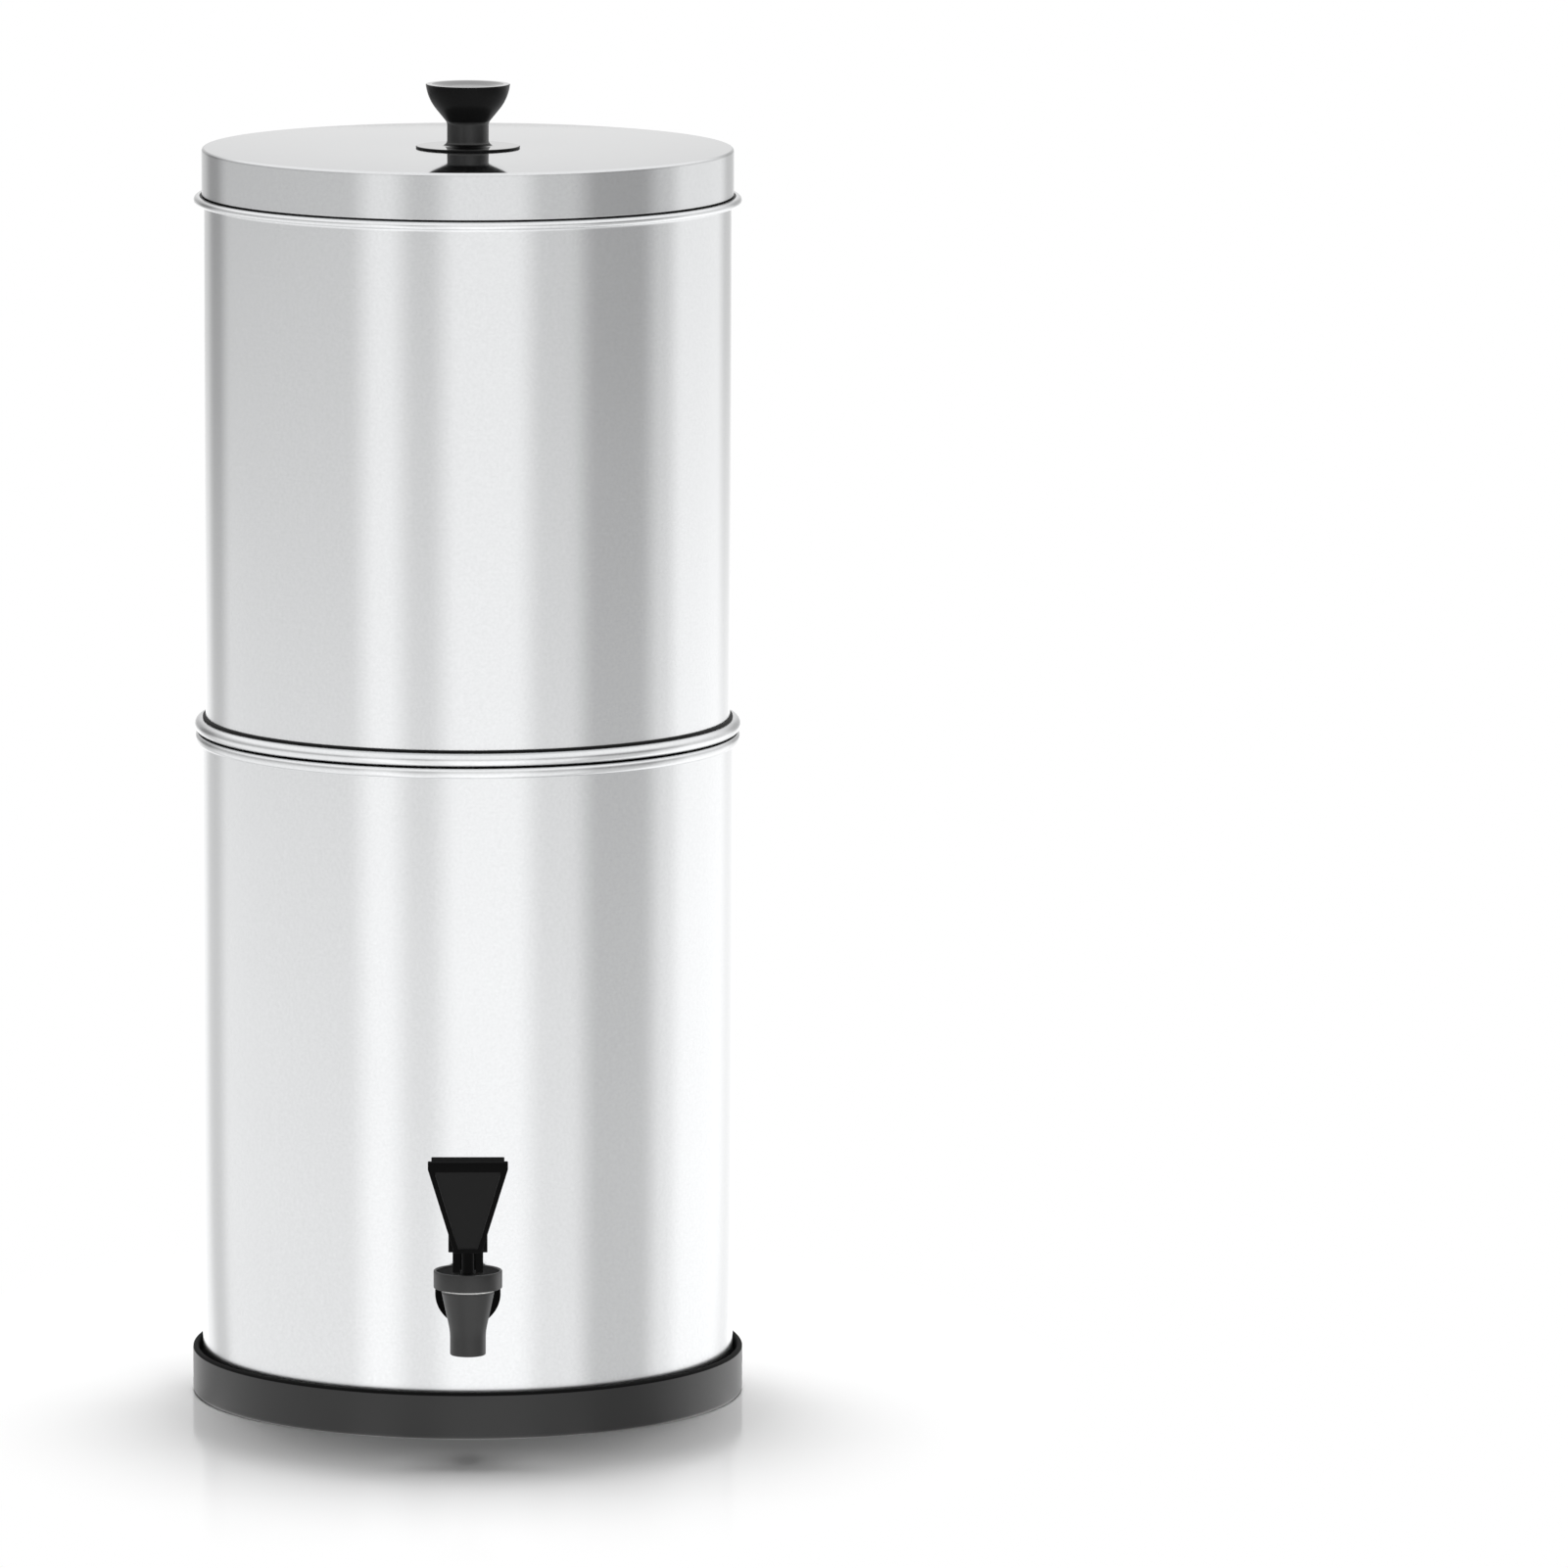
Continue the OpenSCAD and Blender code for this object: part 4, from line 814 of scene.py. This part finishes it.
# %% [markdown]
# ## Pieces that keep their solids
# The insert, the washers, the screw, the pin, the spring, the tap's nut, the cup and the
# rod are small and mostly hidden. Their solids are already true, so only their finishes
# are new: turned brass, drawn steel wire, clear and black silicone, and the tap's mouldings.

# %% Finishes of the small solids
turned_brass = turned_metal("turned_brass", "#C7A25A", 0.2, line_mm=0.25, line_depth=0.15)
drawn_steel = turned_metal("drawn_stainless_wire", "#C9CACB", 0.28, line_mm=0.3, lay=0.0)
clear_silicone = moulded("translucent_silicone", "#CBD0CB", 0.4, 0.6, 0.006, 0.04, 6,
                         Subsurface_Weight=0.6, Subsurface_Scale=0.004)
for finish, kept in ((turned_brass, ["knob_insert"]),
                     (drawn_steel, ["knob_washer", "knob_screw", "lever_pin", "return_spring"]),
                     (seam_silicone, ["tap_outer_washer"]),
                     (clear_silicone, ["tap_inner_washer", "seat_cup"]),
                     (tap_satin, ["tap_nut"]),
                     (lever_plastic, ["valve_stem"])):
    for node in kept:
        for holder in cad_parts[node].material_slots:
            holder.material = finish
        print(node, "finished in", finish.name)

# %% [markdown]
# ## Studio
# The steel shows only what stands round it, so the studio is a grey ring with softboxes and
# dark flags, given by azimuth: 0 is behind the camera, plus is to the right. A wall point
# mirrors the azimuth that is twice its own, so they become upright bands on the drum.
# The camera looks down and the walls mirror the floor, so mirrored rays find the same ring
# there: its near levels at the foot and its far levels further out, which is why the upper
# wall is darker than the lower one. Both levels sit in one colour ramp, at half strength.
# Close to the drum a mirrored ray has not yet fanned out, so the floor widens its azimuth
# there by the drum's half radius over the distance. That keeps the bands upright.

# %% Studio panels
# Each brightness has a level near the drum and one far out, where the studio is darker.
BRIGHT, GREY, DARK = (1.4, 1.05), (1.15, 0.65), (0.8, 0.35)
SOFT_EDGE = 10
# Middle and width in degrees of each softbox and of each dark flag.
STANDS = [(-145, 10, DARK), (-38, 8, BRIGHT), (8, 28, BRIGHT), (70, 26, DARK), (125, 36, BRIGHT)]


def panel_stops():
    """The ring's azimuths and levels, from behind the drum round to behind it again."""
    round_ring = [(-180, BRIGHT), (-165, GREY)]
    for middle, width, level in STANDS:
        low, high = middle - width / 2, middle + width / 2
        round_ring += [(low - SOFT_EDGE, GREY), (low, level)]
        round_ring += [(high, level), (high + SOFT_EDGE, GREY)]
    return round_ring + [(165, GREY), (180, BRIGHT)]


def studio_ring(owner, direction, far_share, widen=1.0):
    """Brightness of the studio by azimuth, from its near levels to its far ones."""
    axes = add(owner, "ShaderNodeSeparateXYZ", {0: direction}).outputs
    behind = add(owner, "ShaderNodeMath", {0: axes[1], 1: -1.0}, operation="MULTIPLY").outputs[0]
    turn = add(owner, "ShaderNodeMath", {0: axes[0], 1: behind}, operation="ARCTAN2").outputs[0]
    turn = add(owner, "ShaderNodeMath", {0: turn, 1: widen}, operation="MULTIPLY").outputs[0]
    share = add(owner, "ShaderNodeMapRange", {
        "Value": turn, "From Min": -math.pi, "From Max": math.pi}).outputs["Result"]
    ramp = add(owner, "ShaderNodeValToRGB", {0: share})
    stops = ramp.color_ramp.elements
    while len(stops) > 1:
        stops.remove(stops[0])
    for i, (degrees, (near, far)) in enumerate(panel_stops()):
        stop = stops[0] if i == 0 else stops.new((degrees + 180) / 360)
        stop.position = (degrees + 180) / 360
        stop.color = (near / 2, far / 2, 0, 1)
    levels = add(owner, "ShaderNodeSeparateColor", {0: ramp.outputs["Color"]}).outputs
    level = add(owner, "ShaderNodeMix", {
        0: far_share, 2: levels[0], 3: levels[1]}, data_type="FLOAT").outputs[0]
    return add(owner, "ShaderNodeMath", {0: level, 1: 2.0}, operation="MULTIPLY").outputs[0]


bpy.context.scene.view_settings.view_transform = "Standard"
print("softboxes and flags:", len(STANDS))

# %% World
# Light from above the studio's walls, as the steel mirrors it, and the dim fill elsewhere
OVERHEAD, FILL = 1.5, 0.08
world = bpy.data.worlds.new("studio")
bpy.context.scene.world = world
world.use_nodes = True
around = add(world, "ShaderNodeTexCoord").outputs["Generated"]
ray = add(world, "ShaderNodeLightPath").outputs
height = add(world, "ShaderNodeSeparateXYZ", {0: around}).outputs[2]
overhead = add(world, "ShaderNodeMapRange", {"Value": height, "From Min": 0.2, "From Max": 0.5})
level = add(world, "ShaderNodeMix", {
    0: overhead.outputs["Result"], 2: studio_ring(world, around, 1.0),
    3: OVERHEAD}, data_type="FLOAT")
mirrored = add(world, "ShaderNodeBackground", {1: level.outputs[0]}).outputs[0]
plain = add(world, "ShaderNodeBackground", {0: (1, 1, 1, 1), 1: FILL}).outputs[0]
white = add(world, "ShaderNodeBackground", {0: (1, 1, 1, 1), 1: 1.0}).outputs[0]
first = add(world, "ShaderNodeMixShader", {
    0: ray["Is Glossy Ray"], 1: plain, 2: mirrored}).outputs[0]
second = add(world, "ShaderNodeMixShader", {
    0: ray["Is Transmission Ray"], 1: first, 2: white}).outputs[0]
third = add(world, "ShaderNodeMixShader", {
    0: ray["Is Camera Ray"], 1: second, 2: white}).outputs[0]
feed(world, third, world.node_tree.nodes["World Output"].inputs["Surface"])
print("world nodes:", len(world.node_tree.nodes))

# %% [markdown]
# ## Floor and lamps
# A white table top with a slight gloss. To the camera it is bright enough to be the white
# page wherever nothing shades it, and it keeps the shadow round the foot and a faint mirror
# image. Further out it turns into the plain page, in an oval that is narrower across. To
# mirrored rays the floor is the studio ring. The main lamp hangs high and a little behind,
# so the shadow falls forwards. A low lamp in front lights the tap's faces.
#
# Three things here aren't as in a real studio. No surface mirrors the lamps. No surface
# mirrors the tap's body, bonnet and lever either, because the photograph shows no image of
# them in the wall. And the chambers throw no light on the table, which would wash out the
# shadow at the foot.

# %% Floor
# Distances from the middle in m: where the ring's far levels begin and are full, and where
# the table begins to turn into the page and has done so
FAR_FROM, FAR_TO = 1.9, 4.2
PAGE_FROM, PAGE_TO = 0.18, 0.36
NARROWER_ACROSS = 1.45
bpy.ops.object.select_all(action="DESELECT")
bpy.ops.mesh.primitive_circle_add(vertices=96, radius=24, fill_type="NGON")
floor = start_piece("studio_floor")
table, table_shader = new_finish("white_gloss_table", Base_Color=(0.9, 0.9, 0.9, 1), Roughness=0.5)
place = add(table, "ShaderNodeTexCoord").outputs["Object"]
reach = add(table, "ShaderNodeVectorMath", {0: place}, operation="LENGTH").outputs["Value"]
far_share = add(table, "ShaderNodeMapRange", {
    "Value": reach, "From Min": FAR_FROM, "From Max": FAR_TO}).outputs["Result"]
half_radius = LOWER_R / 2000
nearness = add(table, "ShaderNodeMath", {0: half_radius, 1: reach}, operation="DIVIDE").outputs[0]
straight = add(table, "ShaderNodeMath", {0: 1.0, 1: nearness}, operation="SUBTRACT").outputs[0]
widen = add(table, "ShaderNodeMath", {0: 1.0, 1: straight}, operation="DIVIDE").outputs[0]
mirrored = add(table, "ShaderNodeEmission", {
    1: studio_ring(table, place, far_share, widen)}).outputs[0]
seen = add(table, "ShaderNodeBsdfDiffuse", {0: (0.8, 0.8, 0.8, 1)}).outputs[0]
sheen = add(table, "ShaderNodeBsdfGlossy", {0: (0.22, 0.22, 0.22, 1), "Roughness": 0.12}).outputs[0]
top = add(table, "ShaderNodeAddShader", {0: seen, 1: sheen}).outputs[0]
wide = add(table, "ShaderNodeVectorMath", {
    0: place, 1: (NARROWER_ACROSS, 1, 1)}, operation="MULTIPLY")
outwards = add(table, "ShaderNodeVectorMath", {0: wide.outputs[0]}, operation="LENGTH")
open_share = add(table, "ShaderNodeMapRange", {
    "Value": outwards.outputs["Value"], "From Min": PAGE_FROM, "From Max": PAGE_TO}).outputs["Result"]
plain_page = add(table, "ShaderNodeEmission", {1: 1.0}).outputs[0]
page = add(table, "ShaderNodeMixShader", {0: open_share, 1: top, 2: plain_page}).outputs[0]
ray = add(table, "ShaderNodeLightPath").outputs
first = add(table, "ShaderNodeMixShader", {
    0: ray["Is Glossy Ray"], 1: table_shader.outputs[0], 2: mirrored}).outputs[0]
second = add(table, "ShaderNodeMixShader", {0: ray["Is Camera Ray"], 1: first, 2: page}).outputs[0]
feed(table, second, table.node_tree.nodes["Material Output"].inputs["Surface"])
floor.data.materials.append(table)

# %% Lamps
AIM = Vector((0, 0, 0.2))
for name, watts, size, where in (
        ("high_softbox", 96, 0.95, (0, 0.5, 3.0)),
        ("front_softbox", 30, 1.2, (1.2, -3.0, 0.8))):
    lamp = bpy.data.objects.new(name, bpy.data.lights.new(name, "AREA"))
    bpy.context.collection.objects.link(lamp)
    lamp.data.energy, lamp.data.size = watts, size
    lamp.location = where
    lamp.rotation_euler = (AIM - lamp.location).to_track_quat("-Z", "Y").to_euler()
    lamp.visible_glossy = False
for piece in (tap_body, bonnet, lever):
    piece.visible_glossy = False
for piece in (lower_chamber, upper_chamber):
    piece.visible_diffuse = False
